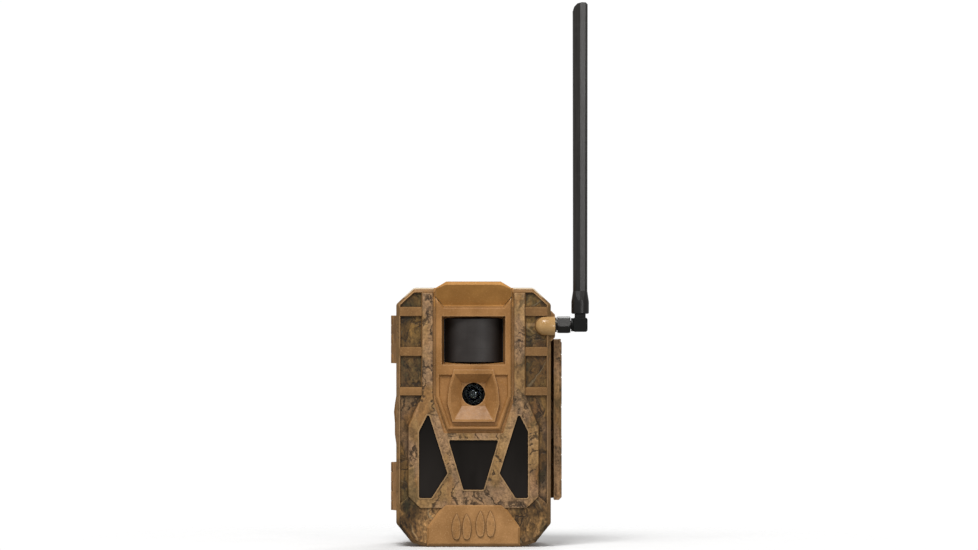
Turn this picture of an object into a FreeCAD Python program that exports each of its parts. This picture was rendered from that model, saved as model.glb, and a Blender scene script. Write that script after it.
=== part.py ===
"""Cellular trail camera: a hinged two-shell housing with a swivelling whip antenna.

Millimetres. +Z up, +X to the viewer's right when facing the camera, the lens looks along -Y.
The origin is the mouth of the tripod socket, in the middle of the flat underside.
The rear housing holds the batteries. The front cover holds the sensors and electronics, and opens on a
vertical hinge on its -X side. A long side latch on the +X side closes it.
"""
import FreeCAD
import Part
import math
import os

V = FreeCAD.Vector
X_AXIS = V(1, 0, 0)
Y_AXIS = V(0, 1, 0)
Z_AXIS = V(0, 0, 1)

# ---------------------------------------------------------------- driving dimensions: housing
HALF_WIDTH = 43.4
SHOULDER_Z = 145.3
HOOD_Z = 148.9
HOOD_HALF = 21.4
OUTLINE_HALF = [
    (26.3, 0.0), (34.7, 2.4), (HALF_WIDTH, 13.2), (HALF_WIDTH, 136.2),
    (33.6, SHOULDER_Z), (HOOD_HALF, SHOULDER_Z), (15.4, HOOD_Z),
]
CORNER_RADIUS = 2.4
WALL = 3.2
RIM_WALL = 5.2
RIM_DEPTH = 4.0

# Depth planes, front to back
Y_HOOD = -38.6
Y_BEZEL = -35.4
Y_FIELD = -33.9
Y_FACE = -33.0
Y_INNER_FACE = -30.0
Y_SPLIT = -8.0
SPLIT_GAP = 0.3
Y_BACK = 28.2
Y_INNER_BACK = Y_BACK - 3.0
RIM_BEVEL = 2.0
BACK_BEVEL = 4.5

# Front relief
POCKET_DEPTH = 1.3
RIB_BANDS = [(129.8, 134.3), (107.4, 111.8), (85.2, 89.3)]
POCKET_OUT = 41.3
POCKET_IN = 28.9
POCKET_TOP = 142.9
STRIP_IN = 22.5
FIELD_HALF = [
    (30.0, 21.5), (36.8, 28.0), (36.8, 67.5), (29.1, 85.2), (29.1, 142.8),
    (STRIP_IN, 142.8), (STRIP_IN, 83.9), (16.2, 64.4),
]
SIDE_WINDOW = [(25.3, 75.2), (30.6, 64.8), (30.6, 27.4), (23.6, 27.4), (14.6, 41.3)]
WINDOW_CORNER = 0.9
CENTRE_WINDOW = [(-14.0, 60.0), (14.0, 60.0), (5.7, 32.1), (-5.7, 32.1)]
PAD_HALF = [(26.2, 0.7), (26.2, 11.0), (17.8, 22.6), (15.8, 24.3)]
PAD_RISE = 1.6
EMBLEM_RISE = 0.9
TRACKS = [(-6.7, -1.4), (6.7, 0.2)]
BROW_HALF = [(16.8, 135.1), (HOOD_HALF, 140.7), (HOOD_HALF, SHOULDER_Z), (15.4, HOOD_Z)]
BROW_LIP = 1.6
BROW_BEVEL = 1.7

# Sensor bezel
BEZEL_HALF = [(15.0, 65.6), (21.3, 84.2), (21.3, 140.0), (16.7, 134.6)]
BEZEL_BEVEL = 0.9
BEZEL_PLATE_BACK = -31.5
PIR_HALF = 17.9
PIR_Z = (102.3, 129.5)
PIR_DRAFT = 1.3
PIR_CHIMNEY_BACK = -26.4
LENS_Z = 85.7
LENS_HOLE = 6.45
LENS_RIM_OUT = [(12.2, 69.9), (15.0, 80.4), (14.2, 89.3), (11.4, 100.0)]
LENS_RIM_IN = [(10.7, 71.5), (13.1, 80.4), (12.6, 89.3), (10.5, 97.2)]
FUNNEL_HALF = 6.6
Y_LENS_RIM = -36.6
Y_FUNNEL = -31.4
CHIN_HALF = [(13.4, 67.2), (19.5, 84.4), (19.5, 96.8)]
CHIN_DEPTH = 1.2

# Round pieces behind the lens window: radius, front and back
LENS_PANE = (7.9, Y_INNER_FACE + 0.05, -28.75)
SEAL_RING = (7.9, -28.7, -27.9)
SEAL_BORE = 6.6
BARREL_HEAD = (5.9, -27.6, -24.6)
BARREL_TAIL = (5.2, -24.6, -18.8)
BARREL_BORE = 2.6
BARREL_STEPS = [(4.9, -27.0), (4.2, -26.4), (3.5, -24.9)]
FRONT_GLASS = (3.4, -26.9, -25.0)
FRONT_GLASS_SAG = 1.2
BACK_GLASS_R = 2.5
BACK_GLASSES = [(-23.0, -22.0), (-20.6, -19.6)]

# Hinge on the -X side
HINGE_X = -44.0
HINGE_Y = Y_SPLIT - SPLIT_GAP / 2
KNUCKLE_R = 2.75
KNUCKLE_GAP = 0.15
HINGE_BASES = (19.6, 102.6)
HINGE_LENGTH = 27.2
KNUCKLES = 5
HINGE_PIN_R = 1.2
HINGE_WEB = 8.4
HINGE_ROOT = 1.5
SWING_GAP = 0.35
STRIP_GAP = 0.65
SWELL = [(53.0, 0.0), (62.5, 1.3), (69.0, 1.3), (75.0, 1.8), (80.0, 1.2), (87.0, 0.0)]
PIN_CLEARANCE = 0.04

# Side latch on the +X side
LATCH_Z = (26.0, 116.2)
LATCH_IN = 45.2
LATCH_OUT = 49.6
LATCH_FRONT = -24.0
LATCH_PIN_X = 47.0
LATCH_PIN_Y = 12.0
LATCH_BARREL_R = 2.6
LATCH_LUGS = [(44.0, 52.0), (90.0, 98.0)]
LATCH_PIN_R = 1.25

# Antenna
SMA_Y = -30.0
SMA_Z = 124.7
BOSS_Z = 124.0
BOSS_R = 5.9
BOSS_START = 40.0
BOSS_END = 45.8
SMA_THREAD_R = 3.1
NUT_ACROSS_CORNERS = 10.0
NUT_SPAN = (47.0, 54.4)
NUT_TURN = 18.0
NUT_CHAMFER = (4.55, 7.0)
ELBOW_SPAN = (55.7, 64.0)
ELBOW_HALF_Z = 4.0
ELBOW_HALF_Y = 4.0
TILT_X = 59.85
TILT_PIN_R = 1.1
TONGUE_R = 3.1
TONGUE_THICK = 2.3
WHIP_BASE_Z = 130.8
WHIP_BASE_R = 4.95
WHIP_NECK_Z = (137.6, 143.6)
WHIP_TOP_Z = 305.7
WHIP_LOW_R = 4.05
WHIP_HIGH_R = 4.25
WHIP_FLAT = 3.5
WHIP_RIDGE_TURN = 11.0

# Batteries
CELL_R = 7.1
CELL_LENGTH = 50.5
CELL_NUB = 1.3
CELL_PITCH_X = 15.2
CELL_COLUMNS = 4
CELL_LAYERS = (1.6, 16.3)
BAYS = ((15.6, 72.6), (75.0, 132.0))
CRADLE_HALF = 31.5
CRADLE_WALL = 1.2
CRADLE_BACK = 24.8
CRADLE_FRONT = -5.0
PLATE = 0.3
CRADLE_EARS = [(35.4, 22.0), (35.4, 122.0)]

# Boards and inner panel
Y_MAIN_BOARD = -15.2
BOARD = 1.6
Y_LED_BOARD = -20.6
MODEM_THICK = 2.6
Y_PANEL = -10.4
PANEL_THICK = 1.6
PANEL_INSET = 5.5
PANEL_SCREWS = [(34.8, 20.0), (34.8, 74.0), (34.8, 132.0)]
BOARD_SCREWS = [(28.6, 20.5), (28.6, 130.0)]
LED_SCREWS = [(14.1, 50.0), (10.0, 27.8)]
SCREEN_HALF = 19.0
SCREEN_Z = (90.0, 118.0)
KEY_CENTRE = (15.0, 62.0)
KEY_R = 3.4
KEY_SPREAD = 10.5
KEY_TRAVEL = 0.5
KEY_RISE = 0.6
SWITCH_Z = 40.0
SWITCH_X = 15.0
SD_X = (-33.0, -9.0)
SD_Z = (30.0, 62.0)
SD_DOOR = (18.0, 40.0)
SIM_X = (8.0, 20.0)
SIM_Z = (17.0, 32.0)
CONTACT_Z = 138.2
CONTACT_X = (-6.0, 6.0)

# Underside and back
TRIPOD_R = 2.55
TRIPOD_DEPTH = 10.0
TRIPOD_INSERT_R = 4.6
DC_X = -16.5
DC_Y = 9.0
FLAP = (12.0, 11.0, 1.3)
RAIL_X = (20.0, 28.0)
RAIL_BACK = 39.4
BRACKET_Z = (16.0, 130.0)
BRACKET_PLATE = 2.0
STRAP_SLOTS = [(26.0, 54.0), (92.0, 120.0)]
STRAP_Y = (30.5, 35.7)
CABLE_HOLE = (33.9, 73.0)
CABLE_HOLE_R = 3.4
BRACKET_SCREWS = [(12.0, 21.0), (12.0, 125.0)]


# ---------------------------------------------------------------- outline helpers
def mirrored(half):
    """A closed outline from the points of its +X half."""
    return half + [(-x, z) for x, z in reversed(half)]


def flipped(points):
    return [(-x, z) for x, z in points]


def inset(points, distance):
    """The polygon with every side moved inward by distance (outward if negative)."""
    count = len(points)
    area = sum(points[i][0] * points[(i + 1) % count][1] - points[(i + 1) % count][0] * points[i][1]
               for i in range(count))
    side = 1 if area > 0 else -1
    lines = []
    for i in range(count):
        (x0, z0), (x1, z1) = points[i], points[(i + 1) % count]
        length = math.hypot(x1 - x0, z1 - z0)
        nx, nz = -side * (z1 - z0) / length, side * (x1 - x0) / length
        lines.append((nx, nz, nx * x0 + nz * z0 + distance))
    moved = []
    for i in range(count):
        a, b = lines[i - 1], lines[i]
        det = a[0] * b[1] - a[1] * b[0]
        moved.append(((a[2] * b[1] - a[1] * b[2]) / det, (a[0] * b[2] - a[2] * b[0]) / det))
    return moved


def wire(points, y):
    corners = [V(x, y, z) for x, z in points]
    return Part.makePolygon(corners + corners[:1])


def prism(points, y0, y1):
    return Part.Face(wire(points, y0)).extrude(V(0, y1 - y0, 0))


def taper(points0, y0, points1, y1):
    return Part.makeLoft([wire(points0, y0), wire(points1, y1)], True, True)


def raised(points, y0, y1, bevel):
    """A plate from y0 to y1 whose outer edge slopes in by bevel towards y1."""
    return taper(points, y0, inset(points, bevel), y1)


OUTLINE = mirrored(OUTLINE_HALF)
FIELD = mirrored(FIELD_HALF)
BEZEL = mirrored(BEZEL_HALF)
PAD = mirrored(PAD_HALF)
WINDOWS = {
    "ir_window_left": flipped(SIDE_WINDOW),
    "ir_window_centre": CENTRE_WINDOW,
    "ir_window_right": SIDE_WINDOW,
}


# ---------------------------------------------------------------- solid helpers
def block(x0, x1, y0, y1, z0, z1):
    return Part.makeBox(x1 - x0, y1 - y0, z1 - z0, V(x0, y0, z0))


def rod_x(r, x0, x1, y, z):
    return Part.makeCylinder(r, x1 - x0, V(x0, y, z), X_AXIS)


def rod_y(r, y0, y1, x, z):
    return Part.makeCylinder(r, y1 - y0, V(x, y0, z), Y_AXIS)


def rod_z(r, z0, z1, x, y):
    return Part.makeCylinder(r, z1 - z0, V(x, y, z0), Z_AXIS)


def ring_y(r_out, r_in, y0, y1, x, z):
    return rod_y(r_out, y0, y1, x, z).cut(rod_y(r_in, y0, y1, x, z))


def fuse(shapes):
    return shapes[0].multiFuse(shapes[1:]).removeSplitter() if len(shapes) > 1 else shapes[0]


def cut(shape, tools):
    return shape.cut(tools) if tools else shape


def group(shapes):
    return Part.makeCompound(shapes)


def edges_where(shape, test):
    return [e for e in shape.Edges if test(e.BoundBox)]


def bevel_edges(shape, size, test):
    return shape.makeChamfer(size, edges_where(shape, test))


def round_edges(shape, radius, test):
    return shape.makeFillet(radius, edges_where(shape, test))


def on_plane_y(y):
    return lambda b: abs(b.YMin - y) < 1e-6 and abs(b.YMax - y) < 1e-6


def along_y(b):
    return b.XLength < 1e-6 and b.ZLength < 1e-6


def along_z(b):
    return b.XLength < 1e-6 and b.YLength < 1e-6


def rounded(points, y0, y1, radius):
    """A prism whose corners are rounded."""
    return round_edges(prism(points, y0, y1), radius, along_y)


def both_sides(places):
    return [(sx * x, z) for x, z in places for sx in (1, -1)]


def screw(x, y, z, length, shank_r, head_r, head_h, towards):
    """A pan-head cross-recess screw on the Y axis. towards is the sign of Y that the shank points to."""
    shank = Part.makeCylinder(shank_r, length, V(0, 0, 0), Z_AXIS)
    tip = Part.makeCone(shank_r, shank_r * 0.3, shank_r, V(0, 0, length), Z_AXIS)
    head = Part.makeCylinder(head_r, head_h, V(0, 0, -head_h), Z_AXIS)
    head = bevel_edges(head, head_h * 0.35, lambda b: abs(b.ZMax + head_h) < 1e-6)
    arm, slot = head_r * 0.62, head_r * 0.13
    recess = [
        Part.makeBox(2 * arm, 2 * slot, head_h * 0.6, V(-arm, -slot, -head_h)),
        Part.makeBox(2 * slot, 2 * arm, head_h * 0.6, V(-slot, -arm, -head_h)),
    ]
    body = cut(fuse([shank, tip, head]), recess)
    body.rotate(V(0, 0, 0), X_AXIS, -90 * towards)
    body.translate(V(x, y, z))
    return body


def knuckle_spans(base):
    pitch = HINGE_LENGTH / KNUCKLES
    return [(base + i * pitch, base + (i + 1) * pitch) for i in range(KNUCKLES)]


def hinge_web(towards, low, high):
    """The root that joins a knuckle to its shell; towards is the sign of Y of that shell."""
    root_y = HINGE_Y + towards * HINGE_WEB
    corners = [
        V(HINGE_X - KNUCKLE_R, HINGE_Y, low), V(-HALF_WIDTH, root_y, low),
        V(-HALF_WIDTH + HINGE_ROOT, root_y, low), V(HINGE_X + KNUCKLE_R, HINGE_Y, low),
    ]
    return Part.Face(Part.makePolygon(corners + corners[:1])).extrude(V(0, 0, high - low))


def hinge_side(belongs, towards):
    """(knuckles, clearance notches) for one shell; towards is the sign of Y of that shell."""
    knuckles, notches = [], []
    for base in HINGE_BASES:
        for i, (z0, z1) in enumerate(knuckle_spans(base)):
            if i % 2 != belongs:
                notches.append(rod_z(KNUCKLE_R + SWING_GAP, z0, z1, HINGE_X, HINGE_Y))
                continue
            low, high = z0 + KNUCKLE_GAP, z1 - KNUCKLE_GAP
            knuckles += [rod_z(KNUCKLE_R, low, high, HINGE_X, HINGE_Y), hinge_web(towards, low, high)]
    return knuckles, notches


def hinge_leaves():
    """The housing's strip behind each row of knuckles, which closes the slits between them."""
    front, back = HINGE_Y + KNUCKLE_R + SWING_GAP + 0.15, HINGE_Y + HINGE_WEB
    outer = HINGE_X - KNUCKLE_R + 0.1
    leaves = []
    for base in HINGE_BASES:
        leaf = block(outer, -HALF_WIDTH + HINGE_ROOT, front, back, base + KNUCKLE_GAP,
                     base + HINGE_LENGTH - KNUCKLE_GAP)
        leaves.append(bevel_edges(leaf, 2.2, lambda b: b.XMax < outer + 0.01 and b.YMin > back - 0.01))
    return leaves


def hinge_strips():
    """The cover's strip in front of each row of knuckles, which fills the recesses between its webs."""
    strips = []
    for base in HINGE_BASES:
        low, high = base + KNUCKLE_GAP, base + HINGE_LENGTH - KNUCKLE_GAP
        room = rod_z(KNUCKLE_R + STRIP_GAP, low - 1, high + 1, HINGE_X, HINGE_Y)
        strips.append(hinge_web(-1, low, high).cut(room))
    return strips


def hinge_bores(radius):
    return [rod_z(radius, base - 1, base + HINGE_LENGTH + 1, HINGE_X, HINGE_Y) for base in HINGE_BASES]


def shell_blank(mate_y, edge_y, outer_y, bevel):
    """A shell's solid outer form: the outline from mate_y to edge_y, then sloping in to outer_y."""
    body = fuse([prism(OUTLINE, mate_y, edge_y), taper(OUTLINE, edge_y, inset(OUTLINE, bevel), outer_y)])
    return round_edges(body, CORNER_RADIUS, lambda b: b.YLength > 1 and abs(b.Center.x) > 30)


# ---------------------------------------------------------------- front cover
def rib_pockets():
    """The sunk camouflage panels between the plain ribs, for the +X side."""
    floor = Y_FACE + POCKET_DEPTH
    (r1_low, r1_high), (r2_low, r2_high), (r3_low, r3_high) = RIB_BANDS
    outlines = [
        [(POCKET_IN, r1_high), (POCKET_OUT, r1_high), (POCKET_OUT, 136.0), (33.6, POCKET_TOP),
         (POCKET_IN, POCKET_TOP)],
        [(POCKET_IN, r2_high), (POCKET_OUT, r2_high), (POCKET_OUT, r1_low), (POCKET_IN, r1_low)],
        [(POCKET_IN, r3_high), (POCKET_OUT, r3_high), (POCKET_OUT, r2_low), (POCKET_IN, r2_low)],
        [(POCKET_IN, r3_low), (36.6, 67.6), (36.6, 28.0), (POCKET_OUT, 24.0), (POCKET_OUT, r3_low)],
    ]
    return [taper(p, Y_FACE - 0.1, inset(p, 0.45), floor) for p in outlines]


def hood():
    """The brow over the motion sensor: a bevelled block with a concave underside that slopes back."""
    hump = mirrored(BROW_HALF)
    lip_y = Y_HOOD + BROW_LIP
    brow = fuse([prism(hump, Y_INNER_FACE, lip_y), raised(hump, lip_y, Y_HOOD, BROW_BEVEL)])
    top, foot, below = HOOD_Z - BROW_BEVEL, BROW_HALF[0][1] - 0.1, BROW_HALF[0][1] - 5.0
    rear = Y_FACE + 0.4
    side = [(Y_HOOD - 1, top), (Y_HOOD, top), (rear, foot), (rear, below), (Y_HOOD - 1, below)]
    profile = [V(-HOOD_HALF - 1, y, z) for y, z in side]
    wedge = Part.Face(Part.makePolygon(profile + profile[:1])).extrude(V(2 * HOOD_HALF + 2, 0, 0))
    return brow.cut(wedge)


def antenna_boss():
    dome = Part.makeSphere(BOSS_R, V(BOSS_START, SMA_Y, BOSS_Z))
    barrel = fuse([rod_x(BOSS_R, BOSS_START, BOSS_END, SMA_Y, BOSS_Z), dome])
    flare = block(41.0, BOSS_END - 0.1, -31.4, -14.0, 115.6, 132.4)
    flare = bevel_edges(flare, 2.0, lambda b: b.XMin > BOSS_END - 0.2 and b.YLength > 1)
    return [barrel, flare]


def emblem():
    """A pair of plain two-toed tracks, raised on the lower pad."""
    top = Y_FACE - PAD_RISE
    toes = []
    for side in (-1, 1):
        heel, inner, tip = V(side * 1.1, top, 7.6), V(side * 0.7, top, 13.2), V(side * 2.7, top, 20.2)
        outer, foot = V(side * 5.3, top, 12.4), V(side * 4.6, top, 7.4)
        sole = V(side * 2.8, top, 5.8)
        loop = Part.Wire([Part.Arc(heel, inner, tip).toShape(), Part.Arc(tip, outer, foot).toShape(),
                          Part.Arc(foot, sole, heel).toShape()])
        toe = Part.Face(loop).extrude(V(0, -EMBLEM_RISE, 0))
        toes += [toe.translated(V(x, 0, z)) for x, z in TRACKS]
    return toes


def window_lip(points):
    lip = rounded(inset(points, -0.9), Y_FIELD + 0.3, Y_FIELD - 0.3, WINDOW_CORNER + 0.9)
    return bevel_edges(lip, 0.25, on_plane_y(Y_FIELD - 0.3))


def front_cover():
    rear = Y_SPLIT - SPLIT_GAP
    blank = shell_blank(rear, Y_FACE + RIM_BEVEL, Y_FACE, RIM_BEVEL)
    lips = [window_lip(w) for w in WINDOWS.values()]
    pad = fuse([prism(PAD, Y_FACE + PAD_RISE, Y_FACE), raised(PAD, Y_FACE, Y_FACE - PAD_RISE, 1.3)])
    catch = bevel_edges(block(43.0, 44.8, -14.2, -11.4, 60.0, 82.0), 0.8, lambda b: b.XMin > 44.7)
    field = raised(FIELD, Y_FACE + 0.3, Y_FIELD, 0.55)
    cover = cut(blank, rib_pockets() + [p.mirror(V(0, 0, 0), X_AXIS) for p in rib_pockets()])
    knuckles, notches = hinge_side(1, -1)
    relief = [field, hood(), pad, catch] + lips + emblem() + antenna_boss()
    cover = fuse([cover] + relief + knuckles + hinge_strips())
    cavity = [
        prism(inset(OUTLINE, WALL), Y_INNER_FACE, rear - RIM_DEPTH),
        prism(inset(OUTLINE, RIM_WALL), rear - RIM_DEPTH - 0.1, rear + 1),
    ]
    cover = cut(cover, cavity)
    bosses = [rod_y(2.9, Y_INNER_FACE, Y_PANEL, x, z) for x, z in both_sides(PANEL_SCREWS)]
    bosses += [rod_y(2.4, Y_INNER_FACE, Y_MAIN_BOARD, x, z) for x, z in both_sides(BOARD_SCREWS)]
    bosses += [rod_y(2.1, Y_INNER_FACE, Y_LED_BOARD, x, z) for x, z in both_sides(LED_SCREWS)]
    cover = fuse([cover] + bosses)
    screw_places = both_sides(PANEL_SCREWS + BOARD_SCREWS + LED_SCREWS)
    holes = [rod_y(1.0, -26.0, Y_SPLIT, x, z) for x, z in screw_places]
    holes += [rounded(w, Y_FIELD - 1, -31.2, WINDOW_CORNER) for w in WINDOWS.values()]
    holes += [prism(inset(w, 1.2), -32.0, Y_INNER_FACE + 1) for w in WINDOWS.values()]
    holes += [prism(inset(BEZEL, -0.15), Y_FACE - 0.9, BEZEL_PLATE_BACK)]
    holes += [prism(inset(BEZEL, 2.0), Y_FACE - 1, Y_INNER_FACE + 1)]
    holes += [rod_x(SMA_THREAD_R + 0.05, 36.0, 47.0, SMA_Y, SMA_Z)]
    holes += [block(27.0, 36.9, Y_INNER_FACE - 1.0, Y_INNER_FACE + 0.5, SMA_Z - 1.0, SMA_Z + 1.0)]
    return cut(cover, holes + notches + hinge_bores(HINGE_PIN_R + PIN_CLEARANCE))


# ---------------------------------------------------------------- sensor bezel
def sensor_bezel():
    plate = fuse([prism(BEZEL, BEZEL_PLATE_BACK, Y_BEZEL + BEZEL_BEVEL),
                  raised(BEZEL, Y_BEZEL + BEZEL_BEVEL, Y_BEZEL, BEZEL_BEVEL)])
    skirt = prism(inset(BEZEL, 2.15), Y_INNER_FACE, BEZEL_PLATE_BACK)
    low, high = PIR_Z
    chimney = block(-18.4, 18.4, BEZEL_PLATE_BACK, PIR_CHIMNEY_BACK, low - 0.8, high + 1.4)
    chin = mirrored(CHIN_HALF)
    plate = plate.cut(taper(chin, Y_BEZEL - 0.1, inset(chin, 0.8), Y_BEZEL + CHIN_DEPTH))
    rim = taper(mirrored(LENS_RIM_OUT), Y_BEZEL + 1.4, inset(mirrored(LENS_RIM_OUT), 0.5), Y_LENS_RIM)
    body = fuse([plate, skirt, chimney, rim])
    mouth = [(-PIR_HALF, low), (PIR_HALF, low), (PIR_HALF, high), (-PIR_HALF, high)]
    pir_hole = taper(mouth, Y_BEZEL - 0.1, inset(mouth, PIR_DRAFT), PIR_CHIMNEY_BACK + 0.1)
    f, z = FUNNEL_HALF, LENS_Z
    throat = mirrored([(f, z - f), (f, z - f / 3), (f, z + f / 3), (f, z + f)])
    funnel = taper(mirrored(LENS_RIM_IN), Y_LENS_RIM - 0.1, throat, Y_FUNNEL)
    seat = rod_y(LENS_HOLE, -33.0, Y_INNER_FACE + 1, 0, LENS_Z)
    return cut(body, [pir_hole, funnel, seat])


def pir_lens():
    """The curved Fresnel window, a vertical half-barrel with closed ends and a mounting flange."""
    apex, radius, wall = -33.9, 21.0, 0.9
    half, low, high = 16.3, PIR_Z[0] + PIR_DRAFT + 0.25, PIR_Z[1] - PIR_DRAFT - 0.25
    axis_y = apex + radius
    window = block(-half, half, apex, PIR_CHIMNEY_BACK + 0.6, low, high)
    outer = rod_z(radius, low, high, 0, axis_y).common(window)
    inner = rod_z(radius - wall, low + wall, high - wall, 0, axis_y).common(
        block(-half + wall, half - wall, apex, PIR_CHIMNEY_BACK + 2, low + wall, high - wall))
    flange_y = PIR_CHIMNEY_BACK + 0.05
    flange = block(-18.3, 18.3, flange_y, flange_y + wall, low - 1.7, high + 1.7)
    return fuse([outer, flange]).cut(inner)


def pir_sensor():
    can = rod_y(4.6, -18.6, Y_MAIN_BOARD, 0, 116.0)
    brim = rod_y(5.1, -16.0, Y_MAIN_BOARD, 0, 116.0)
    glass = block(-2.0, 2.0, -18.9, -18.0, 114.5, 117.5)
    return fuse([can, brim, glass])


def ir_window(points):
    pane = rounded(inset(points, 0.08), -31.2, -33.1, WINDOW_CORNER)
    return bevel_edges(pane, 0.15, on_plane_y(-33.1))


def lens_window():
    return rod_y(*LENS_PANE, 0, LENS_Z)


def lens_seal():
    radius, front, back = SEAL_RING
    return ring_y(radius, SEAL_BORE, front, back, 0, LENS_Z)


def lens_barrel():
    """The threaded barrel, with a mouth stepped down to the front element's seat."""
    body = fuse([rod_y(*BARREL_HEAD, 0, LENS_Z), rod_y(*BARREL_TAIL, 0, LENS_Z)])
    mouth, end = BARREL_HEAD[1] - 1, BARREL_TAIL[2] + 1
    steps = [rod_y(radius, mouth, floor, 0, LENS_Z) for radius, floor in BARREL_STEPS]
    return cut(body, steps + [rod_y(BARREL_BORE, mouth, end, 0, LENS_Z)])


def lens_elements():
    """The glass inside the barrel: a domed front element and two plain ones."""
    radius, apex, back = FRONT_GLASS
    curve = (radius ** 2 + FRONT_GLASS_SAG ** 2) / (2 * FRONT_GLASS_SAG)
    dome = Part.makeSphere(curve, V(0, apex + curve, LENS_Z)).common(rod_y(radius, apex, back, 0, LENS_Z))
    return group([dome] + [rod_y(BACK_GLASS_R, y0, y1, 0, LENS_Z) for y0, y1 in BACK_GLASSES])


def lens_holder():
    """The block on the main board that carries the barrel, the moving filter and the sensor's dark box."""
    base = block(-10.5, 10.5, -21.6, Y_MAIN_BOARD, LENS_Z - 8.5, LENS_Z + 8.5)
    collar = rod_y(7.0, -24.4, -21.6, 0, LENS_Z)
    slot = block(-10.6, 10.6, -18.5, -17.1, LENS_Z - 4.4, LENS_Z + 4.4)
    dark_box = block(-5.2, 5.2, -17.2, Y_MAIN_BOARD + 0.1, LENS_Z - 5.2, LENS_Z + 5.2)
    return cut(fuse([base, collar]), [rod_y(5.25, -24.5, -18.0, 0, LENS_Z), slot, dark_box])


def filter_shuttle():
    """The sliding infrared-cut filter: a frame that sits over the sensor by day."""
    frame = block(-3.6, 9.6, -18.25, -17.35, LENS_Z - 4.1, LENS_Z + 4.1)
    return frame.cut(rod_y(2.9, -18.5, -17.0, 0, LENS_Z))


def filter_glass():
    return rod_y(2.88, -18.15, -17.45, 0, LENS_Z)


def image_sensor():
    return block(-4.2, 4.2, -16.3, Y_MAIN_BOARD - 0.02, LENS_Z - 4.2, LENS_Z + 4.2)


# ---------------------------------------------------------------- lamps and boards
def led_places():
    """Lamp centres behind the three windows, on a 6 mm grid kept clear of the window edges."""
    places = []
    for window in WINDOWS.values():
        hull = Part.Face(wire(inset(window, 3.0), 0))
        for row in range(9):
            for column in range(-6, 7):
                x, z = column * 5.9, 29.0 + row * 5.6
                if hull.isInside(V(x, 0, z), 1e-6, True):
                    places.append((x, z))
    return places


def ir_leds():
    lamps = []
    for x, z in led_places():
        stem = rod_y(2.4, -27.2, Y_LED_BOARD, x, z)
        dome = Part.makeSphere(2.4, V(x, -27.2, z))
        brim = rod_y(2.8, -21.6, Y_LED_BOARD, x, z)
        lamps.append(fuse([stem, dome, brim]))
    return group(lamps)


def led_board():
    board = block(-33.0, 33.0, Y_LED_BOARD, Y_LED_BOARD + BOARD, 24.5, 76.0)
    corners = [block(sx * 33.0 - 6, sx * 33.0 + 6, -22, -18, 70.0, 77.0) for sx in (1, -1)]
    holes = [rod_y(1.1, -22, -18, x, z) for x, z in both_sides(LED_SCREWS)]
    return cut(board, corners + holes)


def main_board():
    half = 33.4
    board = block(-half, half, Y_MAIN_BOARD, Y_MAIN_BOARD + BOARD, 14.0, 136.0)
    tools = [rod_y(3.2, -16, -13, x, z) for x, z in both_sides(PANEL_SCREWS)]
    tools += [rod_y(1.1, -16, -13, x, z) for x, z in both_sides(BOARD_SCREWS)]
    return cut(board, tools)


def board_chips():
    """The processor, memory, power coils and capacitors on the main board's front."""
    front = Y_MAIN_BOARD
    chips = [block(-28, -16, front - 1.4, front, 52, 64), block(-12, -3, front - 1.1, front, 46, 58)]
    chips += [block(x, x + 6, front - 2.4, front, 26, 32) for x in (-26, -17, -8)]
    chips += [rod_y(2.0, front - 3.4, front, x, 38.0) for x in (-24, -18, -12)]
    return group(chips)


def cell_modem():
    can = block(12.0, 32.0, Y_MAIN_BOARD - MODEM_THICK, Y_MAIN_BOARD, 92.0, 116.0)
    return round_edges(can, 0.8, along_y)


def screws_at(places, y, length, towards):
    return [screw(x, y, z, length, 0.95, 2.0, 1.1, towards) for x, z in both_sides(places)]


def panel_screws():
    return group(screws_at(PANEL_SCREWS, Y_PANEL + PANEL_THICK, 8.0, -1))


def board_screws():
    """The same short screw holds the main board and the lamp board."""
    main = screws_at(BOARD_SCREWS, Y_MAIN_BOARD + BOARD, 4.5, -1)
    return group(main + screws_at(LED_SCREWS, Y_LED_BOARD + BOARD, 4.5, -1))


def housing_screws():
    """The same screw holds the battery cradle's ears and the tree bracket."""
    ears = screws_at(CRADLE_EARS, 4.8, 4.0, 1)
    return group(ears + screws_at(BRACKET_SCREWS, Y_BACK + 0.02 + BRACKET_PLATE, 4.0, -1))


def sma_jack():
    """Bulkhead coaxial jack: a barrel in the boss, a flange outside it and the threaded end."""
    barrel = rod_x(SMA_THREAD_R, 36.6, 52.4, SMA_Y, SMA_Z)
    flange = rod_x(4.2, BOSS_END + 0.02, 46.7, SMA_Y, SMA_Z)
    socket = rod_x(2.3, 48.0, 52.5, SMA_Y, SMA_Z)
    pin = rod_x(0.45, 47.5, 51.0, SMA_Y, SMA_Z)
    return fuse([fuse([barrel, flange]).cut(socket), pin])


def antenna_pigtail():
    """The thin coax from the jack's back to its round plug on the modem, along smooth arcs."""
    modem_y = Y_MAIN_BOARD - MODEM_THICK
    route = [V(36.6, SMA_Y, SMA_Z), V(29.0, -29.6, SMA_Z), V(25.5, -25.0, 118.0), V(25.0, -19.0, 110.0),
             V(22.0, -18.95, 104.0)]
    return fuse([tube(route, 0.65), rod_y(1.6, -19.75, modem_y, 22.0, 104.0)])


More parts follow.
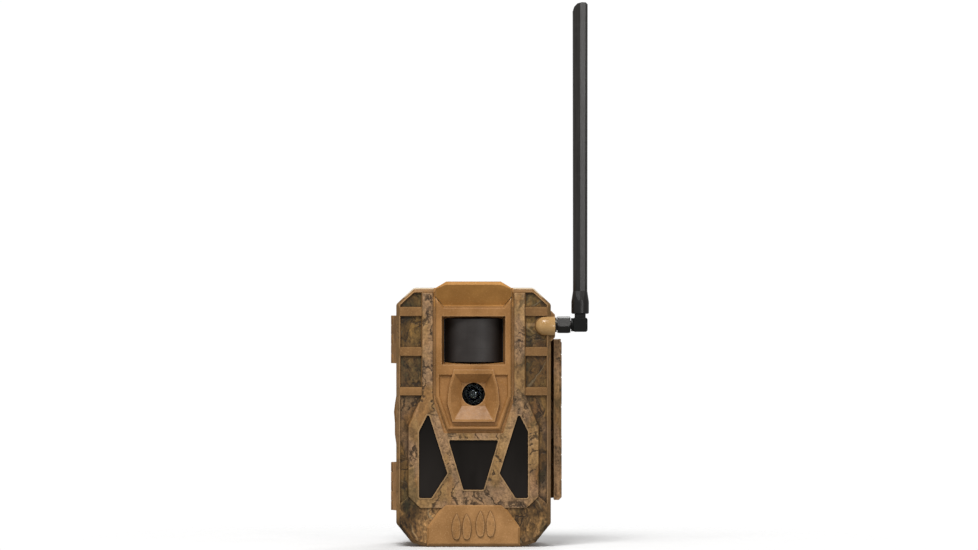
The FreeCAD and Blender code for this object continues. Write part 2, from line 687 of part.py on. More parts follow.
def tube(route, radius):
    """A round tube along straight runs joined by tangent arcs as large as each pair of runs allows."""
    edges, start = [], route[0]
    for before, corner, after in zip(route, route[1:], route[2:]):
        into, out = corner.sub(before), after.sub(corner)
        turn = into.getAngle(out)
        reach = 0.45 * min(into.Length, out.Length)
        bend = reach / math.tan(turn / 2)
        u, w = V(into).normalize(), V(out).normalize()
        entry, leave = corner.sub(V(u).multiply(reach)), corner.add(V(w).multiply(reach))
        inward = V(w).sub(u).normalize()
        middle = corner.add(inward.multiply(bend / math.cos(turn / 2) - bend))
        edges += [Part.LineSegment(start, entry).toShape(), Part.Arc(entry, middle, leave).toShape()]
        start = leave
    edges.append(Part.LineSegment(start, route[-1]).toShape())
    path = Part.Wire(edges)
    section = Part.Wire([Part.Circle(route[0], route[1].sub(route[0]), radius).toShape()])
    return path.makePipeShell([section], True, False, 2)


# ---------------------------------------------------------------- inner panel
def key_places():
    x, z = KEY_CENTRE
    return {
        "key_ok": (x, z), "key_up": (x, z + KEY_SPREAD), "key_down": (x, z - KEY_SPREAD),
        "key_left": (x - KEY_SPREAD, z), "key_right": (x + KEY_SPREAD, z),
    }


def inner_panel():
    y0, y1 = Y_PANEL, Y_PANEL + PANEL_THICK
    panel = prism(inset(OUTLINE, PANEL_INSET), y0, y1)
    panel = bevel_edges(panel, 0.4, on_plane_y(y1))
    low, high = SCREEN_Z
    screen = [(-SCREEN_HALF, low), (SCREEN_HALF, low), (SCREEN_HALF, high), (-SCREEN_HALF, high)]
    tools = [taper(screen, y0 - 0.1, inset(screen, -1.0), y1 + 0.1)]
    tools += [rod_y(KEY_R + 0.12, y0 - 1, y1 + 1, x, z) for x, z in key_places().values()]
    tools += [block(SWITCH_X - 6.5, SWITCH_X + 6.5, y0 - 1, y1 + 1, SWITCH_Z - 1.6, SWITCH_Z + 1.6)]
    tools += [block(SD_X[0] - 0.8, SD_X[1] + 0.8, y0 - 1, y1 + 1, *SD_DOOR)]
    tools += [block(SIM_X[0] - 0.8, SIM_X[1] + 0.8, y0 - 1, y1 + 1, SIM_Z[0] - 0.8, SIM_Z[1] - 3.0)]
    tools += [rod_y(1.2, y0 - 1, y1 + 1, x, z) for x, z in both_sides(PANEL_SCREWS)]
    tools += [rod_y(0.5, y0 - 1, y1 + 1, -30.0 + 2.0 * i, 126.0) for i in range(4)]
    return cut(panel, tools)


def screen_glass():
    return block(-SCREEN_HALF - 1.5, SCREEN_HALF + 1.5, Y_PANEL - 0.85, Y_PANEL - 0.05,
                 SCREEN_Z[0] - 1.5, SCREEN_Z[1] + 1.5)


def screen_module():
    frame = block(-23.0, 23.0, Y_PANEL - 3.15, Y_PANEL - 0.9, SCREEN_Z[0] - 4.0, SCREEN_Z[1] + 2.5)
    return frame.cut(block(-SCREEN_HALF, SCREEN_HALF, Y_PANEL - 1.3, Y_PANEL, *SCREEN_Z))


def key(x, z):
    top = Y_PANEL + PANEL_THICK + KEY_RISE
    cap = rod_y(KEY_R, Y_PANEL - 0.8, top, x, z)
    cap = bevel_edges(cap, 0.5, on_plane_y(top))
    return fuse([cap, rod_y(KEY_R + 0.7, Y_PANEL - 0.85, Y_PANEL - 0.25, x, z)])


def board_switches():
    """The five press switches and the slide switch's metal frame, all soldered to the main board."""
    back = Y_MAIN_BOARD + BOARD
    button_top = Y_PANEL - 0.85 - KEY_TRAVEL - 0.05
    switches = []
    for x, z in key_places().values():
        base = block(x - 2.2, x + 2.2, back, back + 1.3, z - 2.2, z + 2.2)
        switches.append(fuse([base, rod_y(1.0, back + 1.3, button_top, x, z)]))
    frame = block(SWITCH_X - 8.0, SWITCH_X + 8.0, back, back + 1.9, SWITCH_Z - 2.6, SWITCH_Z + 2.6)
    track = block(SWITCH_X - 5.6, SWITCH_X + 5.6, back + 0.6, back + 2, SWITCH_Z - 1.0, SWITCH_Z + 1.0)
    return group(switches + [frame.cut(track)])


def switch_knob():
    top = Y_PANEL + PANEL_THICK + KEY_RISE
    foot = Y_MAIN_BOARD + BOARD + 0.8
    stem = block(SWITCH_X - 1.4, SWITCH_X + 1.4, foot, top, SWITCH_Z - 0.85, SWITCH_Z + 0.85)
    return bevel_edges(stem, 0.3, on_plane_y(top))


def sd_socket():
    """The card's push-push frame: a thin metal cover with rails, open at its lower end."""
    back = Y_MAIN_BOARD + BOARD
    frame = block(SD_X[0] - 1.0, SD_X[1] + 1.0, back, back + 2.95, SD_DOOR[1] + 0.5, SD_Z[1] + 1.5)
    return frame.cut(block(SD_X[0] - 0.15, SD_X[1] + 0.15, back + 0.25, back + 2.6, 0, SD_Z[1] + 0.2))


def sd_card():
    back = Y_MAIN_BOARD + BOARD
    x0, x1 = SD_X
    card = block(x0, x1, back + 0.35, back + 2.45, *SD_Z)
    corner = [V(x1 - 4, 0, SD_Z[1]), V(x1, 0, SD_Z[1]), V(x1, 0, SD_Z[1] - 4)]
    clip = Part.Face(Part.makePolygon(corner + corner[:1])).extrude(V(0, 5, 0))
    clip.translate(V(0, back - 1, 0))
    return card.cut(clip)


def sim_tray():
    back = Y_MAIN_BOARD + BOARD
    frame = block(SIM_X[0] - 1.2, SIM_X[1] + 1.2, back, back + 1.7, SIM_Z[1] - 6.0, SIM_Z[1] + 1.5)
    return frame.cut(block(SIM_X[0] - 0.15, SIM_X[1] + 0.15, back + 0.3, back + 1.3, 0, SIM_Z[1] + 0.2))


def sim_card():
    back = Y_MAIN_BOARD + BOARD
    return block(*SIM_X, back + 0.4, back + 1.2, *SIM_Z)


def contact_pads():
    top = Y_PANEL + PANEL_THICK
    low, high = CONTACT_Z - 2.2, CONTACT_Z + 2.2
    return group([block(x - 2.2, x + 2.2, top, top + 0.15, low, high) for x in CONTACT_X])


# ---------------------------------------------------------------- rear housing
def side_swell():
    """The low uneven grip swell on the hinge side, between the hinges."""
    sections = []
    for y, share in ((-4.0, 0.3), (-2.0, 1.0), (18.0, 1.0), (20.0, 0.3)):
        root = [(-HALF_WIDTH + 1, SWELL[-1][0]), (-HALF_WIDTH + 1, SWELL[0][0])]
        sections.append(wire([(-HALF_WIDTH - share * rise, z) for z, rise in SWELL] + root, y))
    return Part.makeLoft(sections, True, True)


def latch_lugs():
    """The latch's two hinge lugs, and the ledge that closes the gap behind the lever."""
    front, back = LATCH_PIN_Y - LATCH_BARREL_R, LATCH_PIN_Y + LATCH_BARREL_R
    low, high = LATCH_Z
    lugs = [block(42.0, LATCH_IN - SPLIT_GAP, Y_SPLIT, front - 0.8, low + 0.5, high - 0.5)]
    for z0, z1 in LATCH_LUGS:
        low, high = z0 + 0.2, z1 - 0.2
        lugs.append(rod_z(LATCH_BARREL_R, low, high, LATCH_PIN_X, LATCH_PIN_Y))
        lugs.append(block(42.0, LATCH_PIN_X, front, back, low, high))
    return lugs


def rear_housing():
    blank = shell_blank(Y_SPLIT, Y_BACK - BACK_BEVEL, Y_BACK, 0.8 * BACK_BEVEL)
    knuckles, notches = hinge_side(0, 1)
    housing = fuse([blank] + knuckles + hinge_leaves() + [side_swell()] + latch_lugs())
    cavity = [
        prism(inset(OUTLINE, WALL), Y_SPLIT + RIM_DEPTH, Y_INNER_BACK - 3.0),
        taper(inset(OUTLINE, WALL), Y_INNER_BACK - 3.1, inset(OUTLINE, WALL + 2.0), Y_INNER_BACK),
        prism(inset(OUTLINE, RIM_WALL), Y_SPLIT - 1, Y_SPLIT + RIM_DEPTH + 0.1),
    ]
    housing = cut(housing, cavity)
    tripod = rod_z(7.4, 1.0, TRIPOD_DEPTH + 2.0, 0, 0)
    jack_wall = block(DC_X - 6.6, DC_X + 6.6, DC_Y - 6.0, DC_Y + 6.0, 1.0, 12.0)
    posts = [rod_y(2.9, 6.0, Y_INNER_BACK + 0.5, x, z) for x, z in both_sides(CRADLE_EARS)]
    housing = fuse([housing, tripod, jack_wall] + posts)
    groove = prism(inset(OUTLINE, 3.5), Y_SPLIT - 1, Y_SPLIT + 1.2).cut(
        prism(inset(OUTLINE, 4.9), Y_SPLIT - 1, Y_SPLIT + 1.2))
    w, d, t = FLAP
    tools = [groove, rod_z(TRIPOD_INSERT_R, -1, TRIPOD_DEPTH, 0, 0)]
    half_w, half_d = w / 2 + 0.2, d / 2 + 0.2
    tools += [block(DC_X - half_w - 0.3, DC_X + half_w, DC_Y - half_d, DC_Y + half_d, -1, t + 0.2)]
    tools += [block(DC_X - 4.6, DC_X + 4.6, DC_Y - 4.6, DC_Y + 4.6, 1.0, 14.0)]
    tools += [rod_y(1.0, 5.0, 18.0, x, z) for x, z in both_sides(CRADLE_EARS)]
    tools += [rod_y(1.0, Y_INNER_BACK - 1, Y_BACK + 1, x, z) for x, z in both_sides(BRACKET_SCREWS)]
    tools += [rod_z(LATCH_PIN_R, 20, 120, LATCH_PIN_X, LATCH_PIN_Y)]
    return cut(housing, tools + notches + hinge_bores(HINGE_PIN_R))


def housing_gasket():
    outer = prism(inset(OUTLINE, 3.56), Y_SPLIT - 0.22, Y_SPLIT + 1.15)
    return outer.cut(prism(inset(OUTLINE, 4.84), Y_SPLIT - 1, Y_SPLIT + 2))


def hinge_pins():
    return group([rod_z(HINGE_PIN_R, b + 0.4, b + HINGE_LENGTH - 0.4, HINGE_X, HINGE_Y) for b in HINGE_BASES])


def tripod_insert():
    """Knurled brass nut moulded into the base, with the socket's threaded bore."""
    sleeve = rod_z(TRIPOD_INSERT_R, 0, TRIPOD_DEPTH, 0, 0)
    groove = rod_z(TRIPOD_INSERT_R, 4.2, 5.4, 0, 0).cut(rod_z(TRIPOD_INSERT_R - 0.5, 4.2, 5.4, 0, 0))
    return cut(sleeve, [rod_z(TRIPOD_R, -1, TRIPOD_DEPTH + 1, 0, 0), groove])


def dc_jack():
    base = FLAP[2] + 0.6
    body = block(DC_X - 4.5, DC_X + 4.5, DC_Y - 4.5, DC_Y + 4.5, base, 13.0)
    shell = body.cut(rod_z(2.85, base - 1, 11.0, DC_X, DC_Y))
    return fuse([shell, rod_z(1.0, base + 1.0, 11.5, DC_X, DC_Y)])


def dc_flap():
    """A rubber flap that turns on its round -X edge."""
    w, d, t = FLAP
    low = 0.1
    edge_r = (t - low) / 2
    edge_x = DC_X - w / 2 + edge_r
    front, back = DC_Y - d / 2, DC_Y + d / 2
    sheet = block(edge_x, DC_X + w / 2, front, back, low, t)
    flap = fuse([sheet, rod_y(edge_r, front, back, edge_x, low + edge_r)])
    flap = round_edges(flap, 1.6, lambda b: along_z(b) and b.XMin > DC_X)
    grip = rod_y(4.0, DC_Y - 2.0, DC_Y + 2.0, DC_X + 3.4, -3.55)
    return flap.cut(grip)


def battery_cradle():
    low, high = BAYS[0][0], BAYS[-1][1]
    half, wall = CRADLE_HALF, CRADLE_WALL
    outer = block(-half, half, CRADLE_FRONT, CRADLE_BACK, low - 1.6, high + 1.6)
    bays = [block(-half + wall, half - wall, CRADLE_FRONT - 1, CRADLE_BACK - wall, z0, z1) for z0, z1 in BAYS]
    cradle = cut(outer, bays)
    ribs = []
    for z0, z1 in BAYS:
        for i in range(1, CELL_COLUMNS):
            x = (i - CELL_COLUMNS / 2) * CELL_PITCH_X
            ribs += [block(x - 0.35, x + 0.35, 20.6, CRADLE_BACK - wall, z0 + 0.5, z1 - 0.5)]
            ribs += [block(x - 0.35, x + 0.35, 7.6, 10.2, z, z + 8) for z in (z0, z1 - 8)]
    ears = [block(min(sx * 30.5, sx * 38.4), max(sx * 30.5, sx * 38.4), 4.8, 6.0, z - 3.6, z + 3.6)
            for _, z in CRADLE_EARS for sx in (1, -1)]
    tab = block(-10.0, 10.0, -4.6, -2.4, high + 1.0, CONTACT_Z + 2.6)
    holes = [rod_y(1.2, 4, 7, x, z) for x, z in both_sides(CRADLE_EARS)]
    holes += [rod_y(1.22, -6, 0, x, CONTACT_Z) for x in CONTACT_X]
    return cut(fuse([cradle, tab] + ribs + ears), holes)


def contact_pins():
    pins = []
    for x in CONTACT_X:
        plunger = rod_y(1.2, Y_SPLIT - 0.25, -1.2, x, CONTACT_Z)
        pins.append(fuse([plunger, rod_y(2.0, -2.3, -1.2, x, CONTACT_Z)]))
    return group(pins)


def cell_slots():
    """(x, y, bay floor, bay ceiling, nub up) of every cell; neighbours point opposite ways."""
    slots = []
    for layer, y in enumerate(CELL_LAYERS):
        for row, (z0, z1) in enumerate(BAYS):
            for i in range(CELL_COLUMNS):
                x = (i - (CELL_COLUMNS - 1) / 2) * CELL_PITCH_X
                slots.append((x, y, z0 + PLATE, z1 - PLATE, (i + layer + row) % 2 == 0))
    return slots


def battery_cells():
    cells = []
    for x, y, z0, z1, up in cell_slots():
        body = CELL_LENGTH - CELL_NUB
        low = z1 - CELL_LENGTH if up else z0 + CELL_NUB
        can = rod_z(CELL_R, low, low + body, x, y)
        can = round_edges(can, 0.5, lambda b: b.ZLength < 1e-6)
        nub = rod_z(2.7, low + body, z1, x, y) if up else rod_z(2.7, z0, low, x, y)
        cells.append(fuse([can, nub]))
    return group(cells)


def battery_springs():
    """Conical contact springs, each as a hollow cone of the spring's outer shape."""
    springs = []
    for x, y, z0, z1, up in cell_slots():
        height = z1 - z0 - CELL_LENGTH
        base, axis = (z0, Z_AXIS) if up else (z1, V(0, 0, -1))
        outer = Part.makeCone(5.2, 3.4, height, V(x, y, base), axis)
        springs.append(outer.cut(Part.makeCone(4.5, 2.7, height, V(x, y, base), axis)))
    return group(springs)


def contact_plates():
    """Nickel strips on the bay ends, each joining two neighbouring columns."""
    plates = []
    for y in CELL_LAYERS:
        for z0, z1 in BAYS:
            for x in (-CELL_PITCH_X, CELL_PITCH_X):
                for z in (z0, z1 - PLATE):
                    plates.append(block(x - 13.0, x + 13.0, y - 5.6, y + 5.6, z, z + PLATE))
    return group(plates)


def tree_bracket():
    """Back plate with two toothed rails, strap slots through both, and a cable-lock hole."""
    z0, z1 = BRACKET_Z
    y0 = Y_BACK + 0.02
    plate = block(-RAIL_X[1], RAIL_X[1], y0, y0 + BRACKET_PLATE, z0, z1)
    rails = [block(min(sx * RAIL_X[0], sx * RAIL_X[1]), max(sx * RAIL_X[0], sx * RAIL_X[1]),
                   y0 + 1, RAIL_BACK, z0, z1) for sx in (1, -1)]
    rails = [bevel_edges(r, 2.5, lambda b: b.YMin > RAIL_BACK - 0.01 and b.XLength > 1) for r in rails]
    body = fuse([plate] + rails)
    slots = [block(-30, 30, STRAP_Y[0], STRAP_Y[1], low, high) for low, high in STRAP_SLOTS]
    hole = rod_x(CABLE_HOLE_R, -30, 30, *CABLE_HOLE)
    teeth = []
    pitch = 6.0
    for i in range(int((z1 - z0 - 8) / pitch)):
        z = z0 + 5 + i * pitch
        notch = [V(-30, RAIL_BACK + 0.5, z - 1.9), V(-30, RAIL_BACK + 0.5, z + 1.9),
                 V(-30, RAIL_BACK - 1.5, z)]
        teeth.append(Part.Face(Part.makePolygon(notch + notch[:1])).extrude(V(60, 0, 0)))
    holes = [rod_y(1.15, Y_BACK - 1, Y_BACK + 4, x, z) for x, z in both_sides(BRACKET_SCREWS)]
    return cut(body, slots + [hole] + teeth + holes)


# ---------------------------------------------------------------- latch
def latch():
    """The long side lever: a ribbed plate on a vertical barrel, with a hook bead inside its front edge."""
    z0, z1 = LATCH_Z
    plate = block(LATCH_IN, LATCH_OUT, LATCH_FRONT, LATCH_PIN_Y, z0, z1)
    plate = bevel_edges(plate, 1.6, lambda b: b.YMax < LATCH_FRONT + 0.01 and b.XMin > LATCH_OUT - 0.01)
    plate = bevel_edges(plate, 1.6, lambda b: b.XMin > LATCH_OUT - 0.01 and b.YLength > 20)
    barrel = rod_z(LATCH_BARREL_R, z0, z1, LATCH_PIN_X, LATCH_PIN_Y)
    bead = block(LATCH_IN - 0.2, LATCH_IN + 1, -18.6, -15.6, 60.0, 82.0)
    body = fuse([plate, barrel, bead])
    grooves = [block(LATCH_OUT - 0.45, LATCH_OUT + 1, LATCH_FRONT - 1, 4.0, z, z + 0.8)
               for z in (107.4, 94.5, 77.6, 60.2, 51.0, 36.8)]
    relief = [rod_z(LATCH_BARREL_R + 0.5, low, high, LATCH_PIN_X, LATCH_PIN_Y) for low, high in LATCH_LUGS]
    relief += [block(LATCH_IN - 1, LATCH_PIN_X, LATCH_PIN_Y - 3.1, LATCH_PIN_Y + 3.1, low, high)
               for low, high in LATCH_LUGS]
    scoop = rod_z(9.0, 62.0, 80.0, LATCH_OUT + 7.6, -19.0)
    bore = rod_z(LATCH_PIN_R + PIN_CLEARANCE, z0 - 1, z1 + 1, LATCH_PIN_X, LATCH_PIN_Y)
    return cut(body, grooves + relief + [scoop, bore])


def latch_pin():
    return rod_z(LATCH_PIN_R, LATCH_Z[0] + 0.6, LATCH_Z[1] - 0.6, LATCH_PIN_X, LATCH_PIN_Y)


# ---------------------------------------------------------------- antenna
def antenna_nut():
    """The antenna's hexagonal coupling nut, which spins on the ferrule's collar."""
    x0, x1 = NUT_SPAN
    radius = NUT_ACROSS_CORNERS / 2
    angles = [math.radians(30 + 60 * i - NUT_TURN) for i in range(6)]
    corners = [V(x0, SMA_Y + math.cos(a) * radius, SMA_Z + math.sin(a) * radius) for a in angles]
    hexagon = Part.Face(Part.makePolygon(corners + corners[:1])).extrude(V(x1 - x0, 0, 0))
    narrow, wide = NUT_CHAMFER
    crown = Part.makeCone(narrow, wide, x1 - x0, V(x0, SMA_Y, SMA_Z), X_AXIS)
    tail = Part.makeCone(wide, narrow, x1 - x0, V(x0, SMA_Y, SMA_Z), X_AXIS)
    body = hexagon.common(crown).common(tail)
    bore = rod_x(SMA_THREAD_R + 0.06, x0 - 1, 53.1, SMA_Y, SMA_Z)
    return cut(body, [bore, rod_x(2.56, 53.0, x1 + 1, SMA_Y, SMA_Z)])


def antenna_ferrule():
    pieces = [rod_x(2.25, 48.8, 52.6, SMA_Y, SMA_Z), rod_x(3.0, 52.5, 53.0, SMA_Y, SMA_Z),
              rod_x(2.5, 53.0, 56.2, SMA_Y, SMA_Z)]
    return fuse(pieces).cut(rod_x(1.4, 48.0, 52.0, SMA_Y, SMA_Z))


def antenna_elbow():
    """The fork block: a round collar towards the nut and two cheeks that hold the whip's tongue."""
    x0, x1 = ELBOW_SPAN
    front, back = SMA_Y - ELBOW_HALF_Y, SMA_Y + ELBOW_HALF_Y
    cheeks = block(x0, x1, front, back, SMA_Z - ELBOW_HALF_Z, SMA_Z + ELBOW_HALF_Z)
    cheeks = round_edges(cheeks, 1.3, along_y)
    cheeks = bevel_edges(cheeks, 0.5, on_plane_y(front))
    collar = rod_x(3.75, 54.75, x0 + 1, SMA_Y, SMA_Z)
    gap = TONGUE_THICK / 2 + 0.15
    slot = block(TILT_X - TONGUE_R - 0.2, x1 + 1, SMA_Y - gap, SMA_Y + gap, SMA_Z - TONGUE_R - 0.2, SMA_Z + 6)
    pin_hole = rod_y(TILT_PIN_R, SMA_Y - 3.0, SMA_Y + 3.0, TILT_X, SMA_Z)
    return cut(fuse([cheeks, collar]), [slot, rod_x(2.5, 54.0, 56.2, SMA_Y, SMA_Z), pin_hole])


def antenna_pivot_pin():
    return rod_y(TILT_PIN_R, SMA_Y - 3.0, SMA_Y + 3.0, TILT_X, SMA_Z)


def antenna_whip():
    """The moulded sheath: tongue, round foot, taper to a blade with shallow ridges, and a slanted tip."""
    half = TONGUE_THICK / 2
    eye = rod_y(TONGUE_R, SMA_Y - half, SMA_Y + half, TILT_X, SMA_Z)
    stem = block(TILT_X - TONGUE_R, TILT_X + TONGUE_R, SMA_Y - half, SMA_Y + half, SMA_Z, WHIP_BASE_Z + 1)
    low, high = WHIP_NECK_Z
    axis = V(TILT_X, SMA_Y, 0)
    foot = rod_z(WHIP_BASE_R, WHIP_BASE_Z, low, TILT_X, SMA_Y)
    foot = bevel_edges(foot, 0.5, lambda b: abs(b.ZMax - WHIP_BASE_Z) < 1e-6)
    neck = Part.makeCone(WHIP_BASE_R, WHIP_LOW_R, high - low, axis + V(0, 0, low), Z_AXIS)
    blade = Part.makeCone(WHIP_LOW_R, WHIP_HIGH_R, WHIP_TOP_Z - high, axis + V(0, 0, high), Z_AXIS)
    flat, wide = WHIP_FLAT, WHIP_BASE_R + 0.1
    side = [V(0, y, z) for y, z in ((-wide, SMA_Z - 5), (-wide, low), (-flat, high), (-flat, WHIP_TOP_Z + 1),
                                    (flat, WHIP_TOP_Z + 1), (flat, high), (wide, low), (wide, SMA_Z - 5))]
    slab = Part.Face(Part.makePolygon(side + side[:1])).extrude(V(12, 0, 0))
    slab.translate(V(TILT_X - 6, SMA_Y, 0))
    envelope = [slab.rotated(axis, Z_AXIS, turn) for turn in (WHIP_RIDGE_TURN, -WHIP_RIDGE_TURN)]
    tip = [(-6, -5.4), (-4.3, -5.4), (-3.4, -2.6), (-1.6, -0.7), (1.0, 0), (3.1, -0.1), (4.3, -1.2),
           (6, -1.2), (6, 2), (-6, 2)]
    trim = prism([(TILT_X + x, WHIP_TOP_Z + z) for x, z in tip], SMA_Y - 10, SMA_Y + 10)
    hollow = rod_z(2.0, WHIP_BASE_Z + 1.2, WHIP_TOP_Z - 5.0, TILT_X, SMA_Y)
    bore = rod_y(TILT_PIN_R + PIN_CLEARANCE, SMA_Y - 3, SMA_Y + 3, TILT_X, SMA_Z)
    body = fuse([eye, stem, foot, neck, blade]).common(envelope[0]).common(envelope[1])
    return cut(body, [trim, hollow, bore])


def antenna_element():
    sleeve = rod_z(1.7, WHIP_BASE_Z + 1.4, 222.0, TILT_X, SMA_Y)
    return fuse([sleeve, rod_z(0.7, 220.0, WHIP_TOP_Z - 6.0, TILT_X, SMA_Y)])


# ---------------------------------------------------------------- the parts
PARTS = {
    "rear_housing": rear_housing, "housing_gasket": housing_gasket, "hinge_pins": hinge_pins,
    "tripod_insert": tripod_insert, "dc_jack": dc_jack, "dc_flap": dc_flap,
    "battery_cradle": battery_cradle, "battery_cells": battery_cells, "battery_springs": battery_springs,
    "contact_plates": contact_plates, "contact_pins": contact_pins, "tree_bracket": tree_bracket,
    "latch": latch, "latch_pin": latch_pin,
    "front_cover": front_cover, "sensor_bezel": sensor_bezel, "pir_lens": pir_lens, "pir_sensor": pir_sensor,
    "lens_window": lens_window, "lens_seal": lens_seal, "lens_barrel": lens_barrel,
    "lens_elements": lens_elements, "lens_holder": lens_holder, "filter_shuttle": filter_shuttle,
    "filter_glass": filter_glass, "image_sensor": image_sensor,
    "ir_leds": ir_leds, "led_board": led_board, "main_board": main_board, "board_chips": board_chips,
    "cell_modem": cell_modem, "sma_jack": sma_jack, "antenna_pigtail": antenna_pigtail,
    "inner_panel": inner_panel, "screen_glass": screen_glass, "screen_module": screen_module,
    "board_switches": board_switches, "switch_knob": switch_knob,
    "sd_socket": sd_socket, "sd_card": sd_card, "sim_tray": sim_tray, "sim_card": sim_card,
    "contact_pads": contact_pads,
    "antenna_nut": antenna_nut, "antenna_ferrule": antenna_ferrule, "antenna_elbow": antenna_elbow,
    "antenna_pivot_pin": antenna_pivot_pin, "antenna_whip": antenna_whip, "antenna_element": antenna_element,
    "panel_screws": panel_screws,
    "board_screws": board_screws, "housing_screws": housing_screws,
}
for window_name, window_points in WINDOWS.items():
    PARTS[window_name] = lambda points=window_points: ir_window(points)
for key_name, (key_x, key_z) in key_places().items():
    PARTS[key_name] = lambda x=key_x, z=key_z: key(x, z)


def main():
    os.makedirs("parts", exist_ok=True)
    for name, make in PARTS.items():
        shape = make()
        solids = shape.Solids
        shape = solids[0] if len(solids) == 1 else Part.makeCompound(solids)
        if not solids or not shape.isValid():
            raise ValueError(name + " isn't a valid solid")
        shape.exportStep(os.path.join("parts", name + ".step"))
        print(f"{name}: {len(solids)} solids, {shape.Volume:.0f} mm3")


if __name__ == "__main__":
    main()
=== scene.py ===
import math

import bmesh
import bpy
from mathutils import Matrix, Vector


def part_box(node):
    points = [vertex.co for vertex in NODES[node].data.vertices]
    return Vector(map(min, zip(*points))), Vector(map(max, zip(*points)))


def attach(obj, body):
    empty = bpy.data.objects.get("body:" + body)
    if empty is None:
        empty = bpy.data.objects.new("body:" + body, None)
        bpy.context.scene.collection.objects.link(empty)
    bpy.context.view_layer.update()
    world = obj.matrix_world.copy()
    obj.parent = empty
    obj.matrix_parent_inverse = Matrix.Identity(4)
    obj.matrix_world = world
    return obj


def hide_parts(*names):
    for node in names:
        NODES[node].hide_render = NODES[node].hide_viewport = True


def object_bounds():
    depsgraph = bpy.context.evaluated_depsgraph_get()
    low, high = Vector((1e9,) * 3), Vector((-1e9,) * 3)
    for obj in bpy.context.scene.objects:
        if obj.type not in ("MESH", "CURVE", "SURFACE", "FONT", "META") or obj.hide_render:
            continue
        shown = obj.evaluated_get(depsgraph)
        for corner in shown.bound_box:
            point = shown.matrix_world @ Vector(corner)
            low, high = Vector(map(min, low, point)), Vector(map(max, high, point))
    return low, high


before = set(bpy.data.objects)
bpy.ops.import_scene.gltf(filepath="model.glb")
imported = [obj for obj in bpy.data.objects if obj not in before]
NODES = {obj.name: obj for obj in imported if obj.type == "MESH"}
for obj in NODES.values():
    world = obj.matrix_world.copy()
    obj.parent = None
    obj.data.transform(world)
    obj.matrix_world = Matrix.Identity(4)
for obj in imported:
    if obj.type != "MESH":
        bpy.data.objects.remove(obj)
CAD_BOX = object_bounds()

MM = 0.001
SAME_POINT = 0.000002

# All of these are in millimetres of the shared frame.
# The front cover's relief planes, and where its zones begin and end
FACE_Y = -33.0
FIELD_Y = -33.9
RIB_ZONE_Z = 84.9
BROW_Z = 134.9
BROW_HALF = 22.3
GROOVE_FOOT_Z = 62.0
LIP_TOP_Z = 79.0
PAD_TOP_Z = 25.0
PAD_SIDE_TOP_Z = 21.4
EMBLEM_TOP_Z = 21.0
RIM_IN = 41.4
BOSS_IN = 34.0
BOSS_Z = (117.5, 130.5)
NECK_Z = 115.0

# The shells' outline: half width, shoulder and foot bevels, the plane where they meet, and their wall
SHELL_HALF = 43.4
SHOULDER_Z = 145.3
SHOULDER_BEVEL_Z = 136.2
SHOULDER_SLOPE = (0.681, 0.733)
FOOT_HALF = 34.7
FOOT_BEVEL_Z = 2.4
FOOT_SLOPE = (0.779, 0.627)
SPLIT_Y = -8.15
SPLIT_REACH = 0.3
PRINT_WALL = 2.8
INNER_FRONT_Y = -30.2
INNER_BACK_Y = 25.3

# The rear housing's ledge beside the latch, painted a plain tan lighter than its own dark brown, as
# painted light against the shade in its gap
LEDGE_OUT = 45.0
LEDGE_BACK_Y = 9.0

# A face is flat to the front or back when its normal has this much Y
FLAT = 0.9


def middle(node):
    """The middle of a CAD node's box, in metres."""
    low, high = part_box(node)
    return (Vector(low) + Vector(high)) / 2


def paint(red, green, blue):
    """An sRGB colour of 0 to 255 as linear RGBA."""
    channels = [value / 255 for value in (red, green, blue)]
    return tuple(c / 12.92 if c <= 0.04045 else ((c + 0.055) / 1.055) ** 2.4 for c in channels) + (1.0,)


